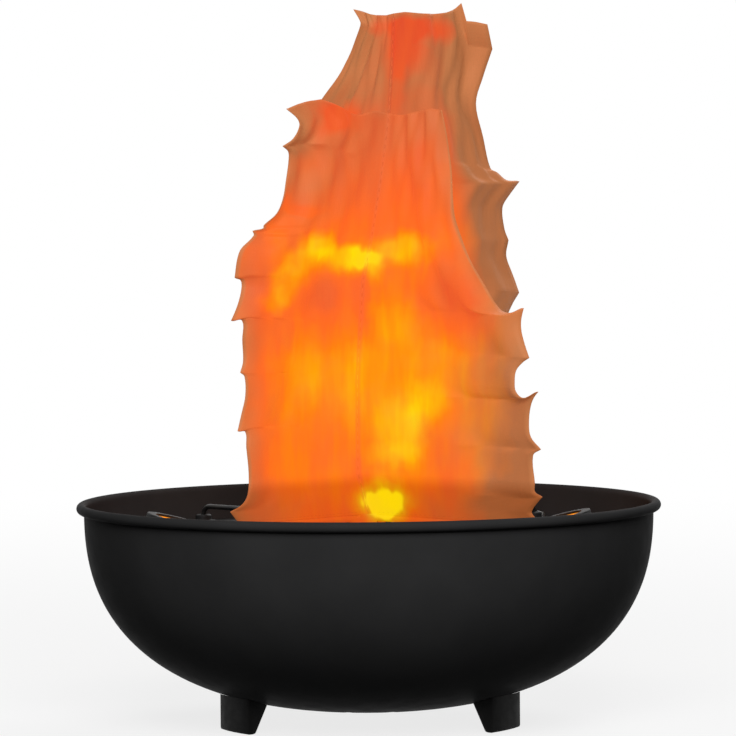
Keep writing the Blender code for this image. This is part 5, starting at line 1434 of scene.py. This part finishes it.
@dataclass
class Silk(SubAssembly):
    """The flame: a shorter sheet in front and a taller one behind, sewn together along the seam.

    A ripple is a depth, its waves across a wing, how it climbs and its share of the wing's phase. A sleeve's
    wave is a share of its radius, a rate along the rod and a lead.
    """

    flame_unit: float = 0.001
    seam_line: Line = (
        (0, 0), (20, -5), (64, -5), (111, -2), (136, 3), (160, 7), (190, 11), (220, 13), (245, 14))
    claw_reach: float = 0.0045
    seam_gap: float = 0.0005
    cloth: float = 0.0003
    fold_depth: float = 0.0085
    folds: float = 1.15
    twist: float = 1.7
    fold_width: float = 0.070
    ripples: tuple[tuple[float, ...], ...] = ((0.0014, 3.1, 5.3, 2), (0.0006, 6.3, -8.7, 3))
    flutter: float = 0.0012
    columns: int = 30
    steps: int = 5
    sleeve: float = 0.00150
    sleeve_bore: float = 0.00133
    sleeve_start: float = 0.0045
    sleeve_end: float = 0.001
    sleeve_step: float = 0.001
    sleeve_sides: int = 18
    sleeve_waves: tuple[Colour, ...] = ((0.03, 2100.0, 0.0), (0.02, 4300.0, 1.0))
    thread: float = 0.00022
    hem_stitch: float = 0.0019
    hem_stitch_count: int = 34
    seam_stitch: float = 0.0022
    seam_stitch_count: int = 58
    seam_stitch_depth: float = 0.00105
    seam_radius: float = 0.0007
    seam_start: float = 0.0015
    seam_end: float = 0.001
    patch_circle: float = 0.0072
    patch_half: float = 33.0
    patch_sheet: float = 0.00016
    map_scale: float = 4.0

    @property
    def foot(self) -> float:
        """The height at which the sheets leave their rods."""
        return ROD_HEIGHT + ROD_RADIUS + SEAT_GAP

    def seam_offset(self, height: Array) -> Array:
        """How far the seam stands to the right of Z at a height above the rods."""
        line = np.array(self.seam_line) * self.flame_unit
        return np.interp(height, line[:, 0], line[:, 1])

    def cut_line(self, line: Line, measure: int) -> Array:
        """A cut edge through its corners.

        Args:
            line: The corners in flame units.
            measure: Which of a corner's two numbers tells how far out it stands.

        Returns:
            Cubic pieces between neighbouring corners. Their headings run on smoothly through a hollow and
            break at a tip, which is a corner that stands further out than both of its neighbours.
        """
        corners = np.array(line, float) * self.flame_unit
        step = np.diff(corners, axis=0)
        length = np.linalg.norm(step, axis=1, keepdims=True)
        heading = step / length
        leaving = np.concatenate([heading[:1], unit(corners[2:] - corners[:-2]), heading[-1:]])
        arriving = leaving.copy()
        reach = np.sign(corners[0, measure]) * corners[:, measure]
        tip = np.zeros(len(corners), bool)
        tip[1:-1] = (reach[1:-1] > reach[:-2]) & (reach[1:-1] > reach[2:])
        leaving[:-1][tip[:-1]] = heading[tip[:-1]]
        arriving[1:][tip[1:]] = heading[tip[1:]]
        s = np.linspace(0, 1, self.steps, endpoint=False)[None, :, None]
        first, last = (leaving[:-1] * length)[:, None], (arriving[1:] * length)[:, None]
        bulge = s * (1 - s) * ((1 - s) * first - s * last)
        pieces = between((corners[:-1, None], corners[1:, None]), s * s * (3 - 2 * s)) + bulge
        return np.concatenate([pieces.reshape(-1, 2), corners[-1:]])

    def push(self, out: Array, up: Array, width: Array, phase: float) -> Array:
        """How far the cloth stands off its wing's flat plane.

        Args:
            out: Shares of the way from the seam to the free edge.
            up: Shares of the way up.
            width: Each row's width as a share of the fold's.
            phase: Where the wing's folds start.

        Returns:
            One broad fold that turns as it rises, finer ripples across it, and a flutter of the free edge.
            All die out towards the rod and the seam.
        """
        broad = np.sin(2 * math.pi * self.folds * out + self.twist * math.pi * up + phase)
        broad = self.fold_depth * broad * out * (0.25 + 0.75 * out) * width
        fine = sum(depth * np.sin(2 * math.pi * waves * out + climb * math.pi * up + beat * phase)
                   for depth, waves, climb, beat in self.ripples)
        flutter = self.flutter * np.sin(41 * up + 4 * phase) * out**4
        return (broad + fine * np.sin(math.pi * np.minimum(out, 0.5)) + flutter) * np.sqrt(up)

    def wing_points(self, wing: Wing, line: Array, up: Array, seam_top: float) -> tuple[Array, Array]:
        """A wing's points, row by row from the rod up and from the seam out.

        Args:
            wing: The wing.
            line: Its cut edge.
            up: The share of the way up of each row.
            seam_top: How high the seam ends above the rod.

        Returns:
            The points, and the flat pattern's reach and height of each. A row runs from the seam to a point
            of the edge, and spreads so far that the edge point is seen where the outline says. The top rows
            rise to the top's line, and the cloth round a claw is drawn up or down by a bell curve of the
            distance to its tip.
        """
        out, up = np.linspace(0, 1, self.columns)[None, :], up[:, None]
        sine, cosine = math.sin(wing.azimuth), math.cos(wing.azimuth)
        offset = self.seam_offset(line[:, 1])
        width = np.abs(line[:, :1] - offset[:, None]) / self.fold_width
        push = self.push(out, up, width, wing.phase)
        reach = out * ((line[:, 0] - offset - push[:, -1] * cosine) / sine)[:, None]
        height = (1 - out) * up * seam_top + out * line[:, 1:]
        seen = self.seam_offset(height) + reach * sine + push * cosine
        top = self.cut_line(wing.top, 1)
        top = top[np.argsort(top[:, 0])]
        height = height + up**6 * (np.interp(seen[-1], *top.T) - height[-1])
        for x, y, lift in np.array(wing.claws).reshape(-1, 3) * self.flame_unit:
            height = height + lift * np.exp(-((seen - x) ** 2 + (height - y) ** 2) / self.claw_reach**2)
        x = self.seam_offset(height) + reach * sine + push * cosine
        y = wing.side * self.seam_gap - reach * cosine + push * sine
        return np.stack([x, y, self.foot + height], axis=2), np.stack([reach, height], axis=2)

    def sheet(self, cut: Cut) -> tuple[bpy.types.Object, list[Array], tuple[float, float, float]]:
        """One sheet: two wings that meet at the seam, with a thin cloth's thickness.

        Args:
            cut: Its wings, its height at the seam and its finish.

        Returns:
            The piece, both wings' points, and the flat width, height and area it is cut from. The rows take
            in every step of both cut edges.
        """
        lines = [self.cut_line(wing.edge, 0) for wing in cut.wings]
        steps = [np.linalg.norm(np.diff(line, axis=0), axis=1) for line in lines]
        runs = [np.concatenate([[0.0], np.cumsum(step)]) / step.sum() for step in steps]
        up = np.unique(np.concatenate(runs).round(4))
        (left, left_flat), (right, right_flat) = [
            self.wing_points(wing, resampled(line, run, up), up, cut.top * self.flame_unit)
            for wing, line, run in zip(cut.wings, lines, runs)]
        left_flat = left_flat[:, :0:-1] * np.array([-1, 1])
        flat = np.concatenate([left_flat, right_flat], axis=1).reshape(-1, 2)
        out = np.abs(np.linspace(-1, 1, 2 * self.columns - 1))
        shares = np.stack(np.broadcast_arrays(out[None, :], up[:, None]), axis=2).reshape(-1, 2)
        name = f"silk_flame_{cut.name}"
        surface = grid(np.concatenate([left[:, :0:-1], right], axis=1))
        surface = surface.mapped(flat * self.map_scale + np.array([0.5, 0.0]), shares)
        piece = self.add(name, [surface], cut.finish, Slot.SILK, stands_for=f"silk_{cut.name}",
                         smooth_angle=180, closed=False)
        thick = piece.modifiers.new("cloth", "SOLIDIFY")
        thick.thickness, thick.offset = self.cloth, 0.0
        corners = flat[surface.quads]
        ahead = np.roll(corners, -1, axis=1)
        doubled = (corners[..., 0] * ahead[..., 1] - ahead[..., 0] * corners[..., 1]).sum(axis=1)
        wide, tall = np.ptp(flat, axis=0)
        area = np.abs(doubled).sum() / 2
        LOG.info("%s is cut from %.0f x %.0f mm, %.4f m2", name, 1000 * wide, 1000 * tall, area)
        return piece, [left, right], (float(wide), float(tall), float(area))

    def hem(self, wing: Wing, points: Array) -> Surface:
        """A sleeve of cloth round the rod, from near the crossing to the wing's edge.

        Args:
            wing: The wing that it carries.
            points: The wing's points.

        Returns:
            An oval ring carried along the rod, with slight waves in its wall. Its upper half is drawn up to
            the sheet's foot where the lower rod dips.
        """
        far = float(np.hypot(*points[0, -1, :2])) - self.sleeve_end
        near = DIP_START + self.sleeve_step
        along = np.concatenate([np.linspace(self.sleeve_start, near, 16),
                                np.linspace(near + self.sleeve_step, far, 86)])
        dip = rod_drop(along, ROD_DIP if wing in (BACK_RIGHT, FRONT_LEFT) else 0.0)
        wave = 1 + sum(depth * np.sin(along * rate + lead) for depth, rate, lead in self.sleeve_waves)
        path = at(wing.azimuth, along, ROD_HEIGHT - dip)
        rings = []
        for radius in (self.sleeve * wave, self.sleeve_bore):
            ring = sweep(path, radius, self.sleeve_sides, sideways(wing.azimuth)).points
            ring = ring.reshape(len(path), self.sleeve_sides, 3)
            above = np.clip(ring[..., 2] - path[:, None, 2], 0, None)
            ring[..., 2] += above * (dip / self.sleeve)[:, None]
            rings.append(ring)
        made = grid(np.concatenate([rings[0], rings[1][::-1]]), True, True)
        share = np.concatenate([along, along[::-1]])[:, None] / far
        girth = np.linspace(0, 0.02, self.sleeve_sides)[None, :]
        flat = np.stack(np.broadcast_arrays(share, girth), axis=2).reshape(-1, 2)
        return made.mapped(flat, np.clip(flat, 0.05, 0.9))

    def stitches(self, path: Array, length: float) -> Surface:
        """A row of short thread capsules along a path: each is a ring swept from tip to tip of its own axis.

        Args:
            path: The stitches' middles.
            length: How long a stitch is.

        Returns:
            Capsules of six sides and five rings, centred on the path's points and lying along it.
        """
        heading = unit(np.gradient(path, axis=0))
        first = unit(np.cross(heading, heading[:, [1, 2, 0]] + 0.3))
        second = np.cross(heading, first)
        along = np.array([-0.5, -0.42, 0.0, 0.42, 0.5])[:, None, None] * length
        swell = np.array([0.0, 0.8, 1.0, 0.8, 0.0])[:, None, None] * self.thread
        t = np.linspace(0, 2 * math.pi, 6, endpoint=False)[:, None]
        ring = first[:, None, None] * np.cos(t) + second[:, None, None] * np.sin(t)
        points = path[:, None, None] + heading[:, None, None] * along + ring * swell
        first_stitch = grid(points[0], True).quads
        shift = np.arange(len(path))[:, None, None] * points[0].size // 3
        made = Surface(points.reshape(-1, 3), (first_stitch[None] + shift).reshape(-1, 4))
        return made.mapped(np.full((len(made.points), 2), 0.1), 0.1)

    def seam_path(self, count: int, depth: float) -> Array:
        """Points up the seam, this far behind its middle."""
        height = np.linspace(self.seam_start, BACK.top * self.flame_unit - self.seam_end, count)
        return np.stack([self.seam_offset(height), np.full(count, depth), self.foot + height], axis=1)

    def seam(self) -> Surface:
        """The seam's ridge: a slim upright oval carried up the seam."""
        made = tube(self.seam_path(140, 0.0), self.seam_radius, 10, Vector((0, 1, 0)), 1.5)
        return made.mapped(made.points[:, [1, 2]] * self.map_scale, 0.02)

    def patch(self, azimuth: float) -> Surface:
        """A patch sewn across the rods' crossing.

        Args:
            azimuth: Where its middle stands.

        Returns:
            A thin upright oval carried along an arc.
        """
        angle = azimuth + np.radians(np.linspace(-self.patch_half, self.patch_half, 21))
        route = at(angle, self.patch_circle, ROD_HEIGHT - 0.0002)
        made = tube(route, self.patch_sheet, 14, Vector((0, 0, 1)), 16.0)
        return made.mapped(made.points[:, [0, 2]] * self.map_scale, 0.1)

    def build(self) -> None:
        # Painted light: the thread, the hem and the patches glow like the sheets.
        thread = LitSilk("lit_thread", (0.2, 1.0, 0.0), strength=0.80).material()
        sheets = [self.sheet(cut) for cut in (FRONT, BACK)]
        hem_silk = LitSilk("lit_silk_hem", (0.2, 1.0, 0.20)).material()
        sewn: list[list[bpy.types.Object]] = [[], []]
        for cut, (_, points, _), group in zip((FRONT, BACK), sheets, sewn):
            for wing, wing_points in zip(cut.wings, points):
                row = wing_points[3, 2:]
                wanted = np.linspace(0, len(row) - 1, self.hem_stitch_count)
                line = resampled(row, np.arange(len(row)), wanted)
                group += [
                    self.add(f"hem_{wing.name}", [self.hem(wing, wing_points)], hem_silk, Slot.SILK),
                    self.add(f"hem_stitches_{wing.name}", [self.stitches(line, self.hem_stitch)], thread,
                             Slot.SILK)]
        for k, (name, group) in enumerate(zip(("front", "right", "back", "left"), np.repeat((0, 1), 2))):
            patch = self.add(f"crossing_patch_{name}", [self.patch(k * QUARTER)], hem_silk, Slot.SILK)
            sewn[group].append(patch)
        paths = [self.seam_path(self.seam_stitch_count, side * self.seam_stitch_depth) for side in (-1, 1)]
        both = [self.stitches(path, self.seam_stitch) for path in paths]
        sewn[1] += [self.add("silk_seam", [self.seam()], hem_silk, Slot.SILK),
                    self.add("seam_stitches", both, thread, Slot.SILK)]


@dataclass
class Controls(SubAssembly):
    """What the controls at the back show besides their CAD nodes: the rocker's two marks."""

    azimuth: float = math.radians(163)
    height: float = 0.0740
    supply_azimuth: float = math.radians(197)
    pivot: float = 0.0013
    tilt: float = math.radians(8)
    half_length: float = 0.0071
    crown: float = 0.0024
    body_size: Pair = (0.0132, 0.0194)
    barrel: float = 0.0043
    cut_reach: float = 0.01
    ink: float = 0.00005
    mark_place: float = 0.6
    mark_lift: float = 0.00003
    ring: Pair = (0.00085, 0.00115)
    bar: Pair = (0.00017, 0.00115)

    def wall_holes(self, bowl: Bowl) -> list[Surface]:
        """What cuts the bowl for the switch and the supply socket.

        Args:
            bowl: The bowl, whose wall gives their places.

        Returns:
            A four-sided bar and a round one.
        """
        across, up = self.body_size[0] / 2, self.body_size[1] / 2
        outline = np.array([(across, up), (-across, up), (-across, -up), (across, -up)])
        low, high = -self.cut_reach, self.cut_reach
        drill = revolve(rows((0.0, low), (self.barrel, low), (self.barrel, high), (0.0, high)), 48)
        return [prism(outline, low, high).moved(bowl.frame_at(self.azimuth, self.height)),
                drill.moved(bowl.frame_at(self.supply_azimuth, self.height))]

    def build(self, bowl: Bowl) -> None:
        """Makes the bar and the ring that mark on and off, printed on the rocker's two slopes.

        Args:
            bowl: The bowl, whose wall gives the rocker's place.
        """
        rocker = bowl.frame_at(self.azimuth, self.height) @ Matrix.Translation((0, 0, self.pivot))
        rocker = rocker @ Matrix.Rotation(-self.tilt, 4, "X")
        (inner, outer), ink, corner = self.ring, self.ink, math.sqrt(2)
        ring = revolve(rows((inner, 0.0), (outer, 0.0), (outer, ink), (inner, ink)), 40, True)
        bar = revolve(rows((0.0, 0.0), (corner, 0.0), (corner, ink), (0.0, ink)), 4)
        bar = bar.moved(Matrix.Diagonal((*self.bar, 1.0, 1.0)) @ turn(QUARTER / 2))
        for name, mark, way in (("on", bar, -1), ("off", ring, 1)):
            along = way * self.mark_place * self.half_length
            lift = self.crown - (self.half_length - abs(along)) * math.tan(self.tilt) + self.mark_lift
            slope = Matrix.Translation((0, along, lift)) @ Matrix.Rotation(way * self.tilt, 4, "X")
            made = mark.moved(rocker @ slope)
            self.add(f"switch_mark_{name}", [made], MARK_INK, Slot.ROCKER_BLACK, Body.ROCKER)


# The frame's own nodes


class FrameDresser:
    """Gives the frame's own nodes their finishes, and joins their triangles so that round walls look so."""

    finishes: ClassVar[dict[str, Finish]] = {
        "deck_plate": DECK_PAINT, "deck_bracket": ZINC_PLATE, "foot_screw": ZINC_PLATE, "foot": FOOT_PLASTIC,
        "fan_frame": PLASTIC, "fan_shaft": ZINC_PLATE, "fan_magnet": FERRITE, "fan_bearing": BEARING_METAL,
        "fan_stator": WINDING, "fan_board": BOARD, "fan_lead": SHEATH, "lamp_heat_sink": SINK_METAL,
        "lamp_board": BOARD, "lamp_driver": PLASTIC, "lamp_harness": SHEATH, "supply_lead": SHEATH,
        "switch_lead": SHEATH, "switch_housing": PLASTIC, "switch_rocker": GLOSS_PLASTIC,
        "supply_socket": PLASTIC, "supply_nut": ZINC_PLATE}

    def __init__(self, smooth_angle: float = 44, merge_gap: float = 0.000002) -> None:
        """Makes the node group that joins a node's triangles and shades its flatter edges smooth.

        Args:
            smooth_angle: Edges flatter than this many degrees are smooth.
            merge_gap: How far apart two corners may be to be joined.
        """
        self.group = bpy.data.node_groups.new("soft_edges", "GeometryNodeTree")
        for way in ("INPUT", "OUTPUT"):
            self.group.interface.new_socket("Geometry", in_out=way, socket_type="NodeSocketGeometry")
        kinds = ("NodeGroupInput", "GeometryNodeRemoveAttribute", "GeometryNodeMergeByDistance",
                 "GeometryNodeSetShadeSmooth", "GeometryNodeSetShadeSmooth", "NodeGroupOutput")
        chain = [self.group.nodes.new(kind) for kind in kinds]
        for before, after in zip(chain, chain[1:]):
            self.group.links.new(before.outputs[0], after.inputs[0])
        plain, merge, edges = chain[1], chain[2], chain[4]
        plain.inputs["Name"].default_value = "custom_normal"
        merge.inputs["Distance"].default_value = merge_gap
        edges.domain = "EDGE"
        angle = self.group.nodes.new("GeometryNodeInputMeshEdgeAngle")
        flat = self.group.nodes.new("FunctionNodeCompare")
        flat.operation = "LESS_THAN"
        flat.inputs[1].default_value = math.radians(smooth_angle)
        self.group.links.new(angle.outputs[0], flat.inputs[0])
        self.group.links.new(flat.outputs[0], edges.inputs["Shade Smooth"])

    def dress(self, nodes: dict[str, bpy.types.Object]) -> None:
        """Finishes every node that still shows.

        Args:
            nodes: The frame's own nodes by name.
        """
        for name, node in nodes.items():
            if node.hide_render:
                continue
            finish = next(finish for prefix, finish in self.finishes.items() if name.startswith(prefix))
            node.data.materials.clear()
            node.data.materials.append(finish.material())
            node.modifiers.new("soft_edges", "NODES").node_group = self.group
            LOG.info("%s: the frame's own solid in %s", name, finish.name)


# Studio


@dataclass
class Studio:
    """A pale floor with soft light, and the camera at the photograph's angle.

    A lamp is its name, place, size and power. Fill is what the world adds, and bounce is how bright the floor
    is to everything but the camera.
    """

    camera_place: Colour = (0.0002, -2.3, 0.2732)
    camera_aim: Colour = (0.0002, 0.0, 0.1702)
    lens: float = 235.1
    roll: float = -0.45
    floor_radius: float = 30.0
    floor_fade: Pair = (0.15, 1.6)
    floor_grey: Colour = (0.86, 0.86, 0.86)
    floor_white: float = 0.80
    fill: float = 0.07
    bounce: float = 0.03
    lamps: tuple[tuple[str, Colour, float, float], ...] = (
        ("key", (0.0, -1.55, 1.10), 1.1, 31.0), ("back", (0.7, 1.5, 1.6), 1.2, 18.0))
    lamp_aim: Colour = (0.0, 0.0, 0.15)

    def floor(self) -> None:
        """A round floor that fades to white outwards, kept white to the eye but with the light's shadow."""
        radius = np.concatenate([[0.0], np.geomspace(0.05, self.floor_radius, 24)])
        disc = revolve(np.stack([radius, np.zeros_like(radius)], axis=1), 96)
        mesh = mesh_of("floor", [disc], smooth_angle=180, closed=False)
        nodes = Nodes(bpy.data.materials.new("pale_floor"))
        camera = nodes.add("ShaderNodeLightPath", {}).outputs["Is Camera Ray"]
        nodes.shade(Base_Color=nodes.mix(camera, 3 * (self.bounce,), self.floor_grey), Roughness=0.9,
                    Specular_IOR_Level=0.1)
        away = nodes.vector("LENGTH", nodes.place())
        white = nodes.add("ShaderNodeEmission", {"Color": WHITE, "Strength": 1.0}).outputs[0]
        fade = nodes.span(away, self.floor_fade, (self.floor_white, 1.0), True)
        keep = nodes.math("MULTIPLY", nodes.seen(), fade)
        grey = nodes.tree.nodes["Principled BSDF"].outputs[0]
        both = nodes.add("ShaderNodeMixShader", {0: keep, 1: grey, 2: white}).outputs[0]
        nodes.feed(nodes.tree.nodes["Material Output"].inputs["Surface"], both)
        mesh.materials.append(nodes.owner)
        placed("floor", mesh)

    def world(self) -> None:
        """White behind the object, and a weaker even fill on it."""
        world = bpy.data.worlds.new("studio")
        bpy.context.scene.world = world
        nodes = Nodes(world)
        sky = nodes.tree.nodes["Background"].inputs
        nodes.feed(sky["Color"], WHITE)
        nodes.feed(sky["Strength"], nodes.span(nodes.seen(), (0.0, 1.0), (self.fill, 1.0)))

    def lamp(self, name: str, place: Colour, size: float, power: float) -> None:
        """Adds a soft square lamp that faces the flame's middle.

        Args:
            name: Its name.
            place: Where it stands.
            size: The length of its sides.
            power: Its power in watts.
        """
        light = bpy.data.lights.new(name, "AREA")
        light.shape, light.size, light.energy = "SQUARE", size, power
        away = Vector(place) - Vector(self.lamp_aim)
        gaze = away.to_track_quat("Z", "Y").to_matrix().to_4x4()
        placed(name, light).matrix_world = Matrix.Translation(place) @ gaze

    def camera(self) -> None:
        """The photograph's camera, with its slight roll."""
        made = bpy.data.cameras.new("camera")
        made.lens, made.sensor_width, made.clip_end = self.lens, 36.0, 100.0
        place, aim = Vector(self.camera_place), Vector(self.camera_aim)
        gaze = (aim - place).to_track_quat("-Z", "Y").to_matrix().to_4x4()
        camera = placed("camera", made)
        camera.matrix_world = Matrix.Translation(place) @ gaze @ turn(math.radians(self.roll))
        bpy.context.scene.camera = camera

    def build(self) -> None:
        """Sets up the floor, the light and the camera."""
        self.floor()
        self.world()
        for lamp in self.lamps:
            self.lamp(*lamp)
        self.camera()
        bpy.context.scene.view_settings.view_transform = "Standard"


def main() -> None:
    """Builds the light's looks, sub-assembly by sub-assembly."""
    logging.basicConfig(level=logging.INFO, format="%(message)s")
    Studio().build()
    bowl, controls = Bowl(), Controls()
    bowl.build(controls.wall_holes(bowl))
    for assembly in (Deck(), Fan(), Lamps(), SilkFrame(), Silk()):
        assembly.build()
    controls.build(bowl)
    FrameDresser().dress(frame["nodes"])


if __name__ == "__main__":
    main()
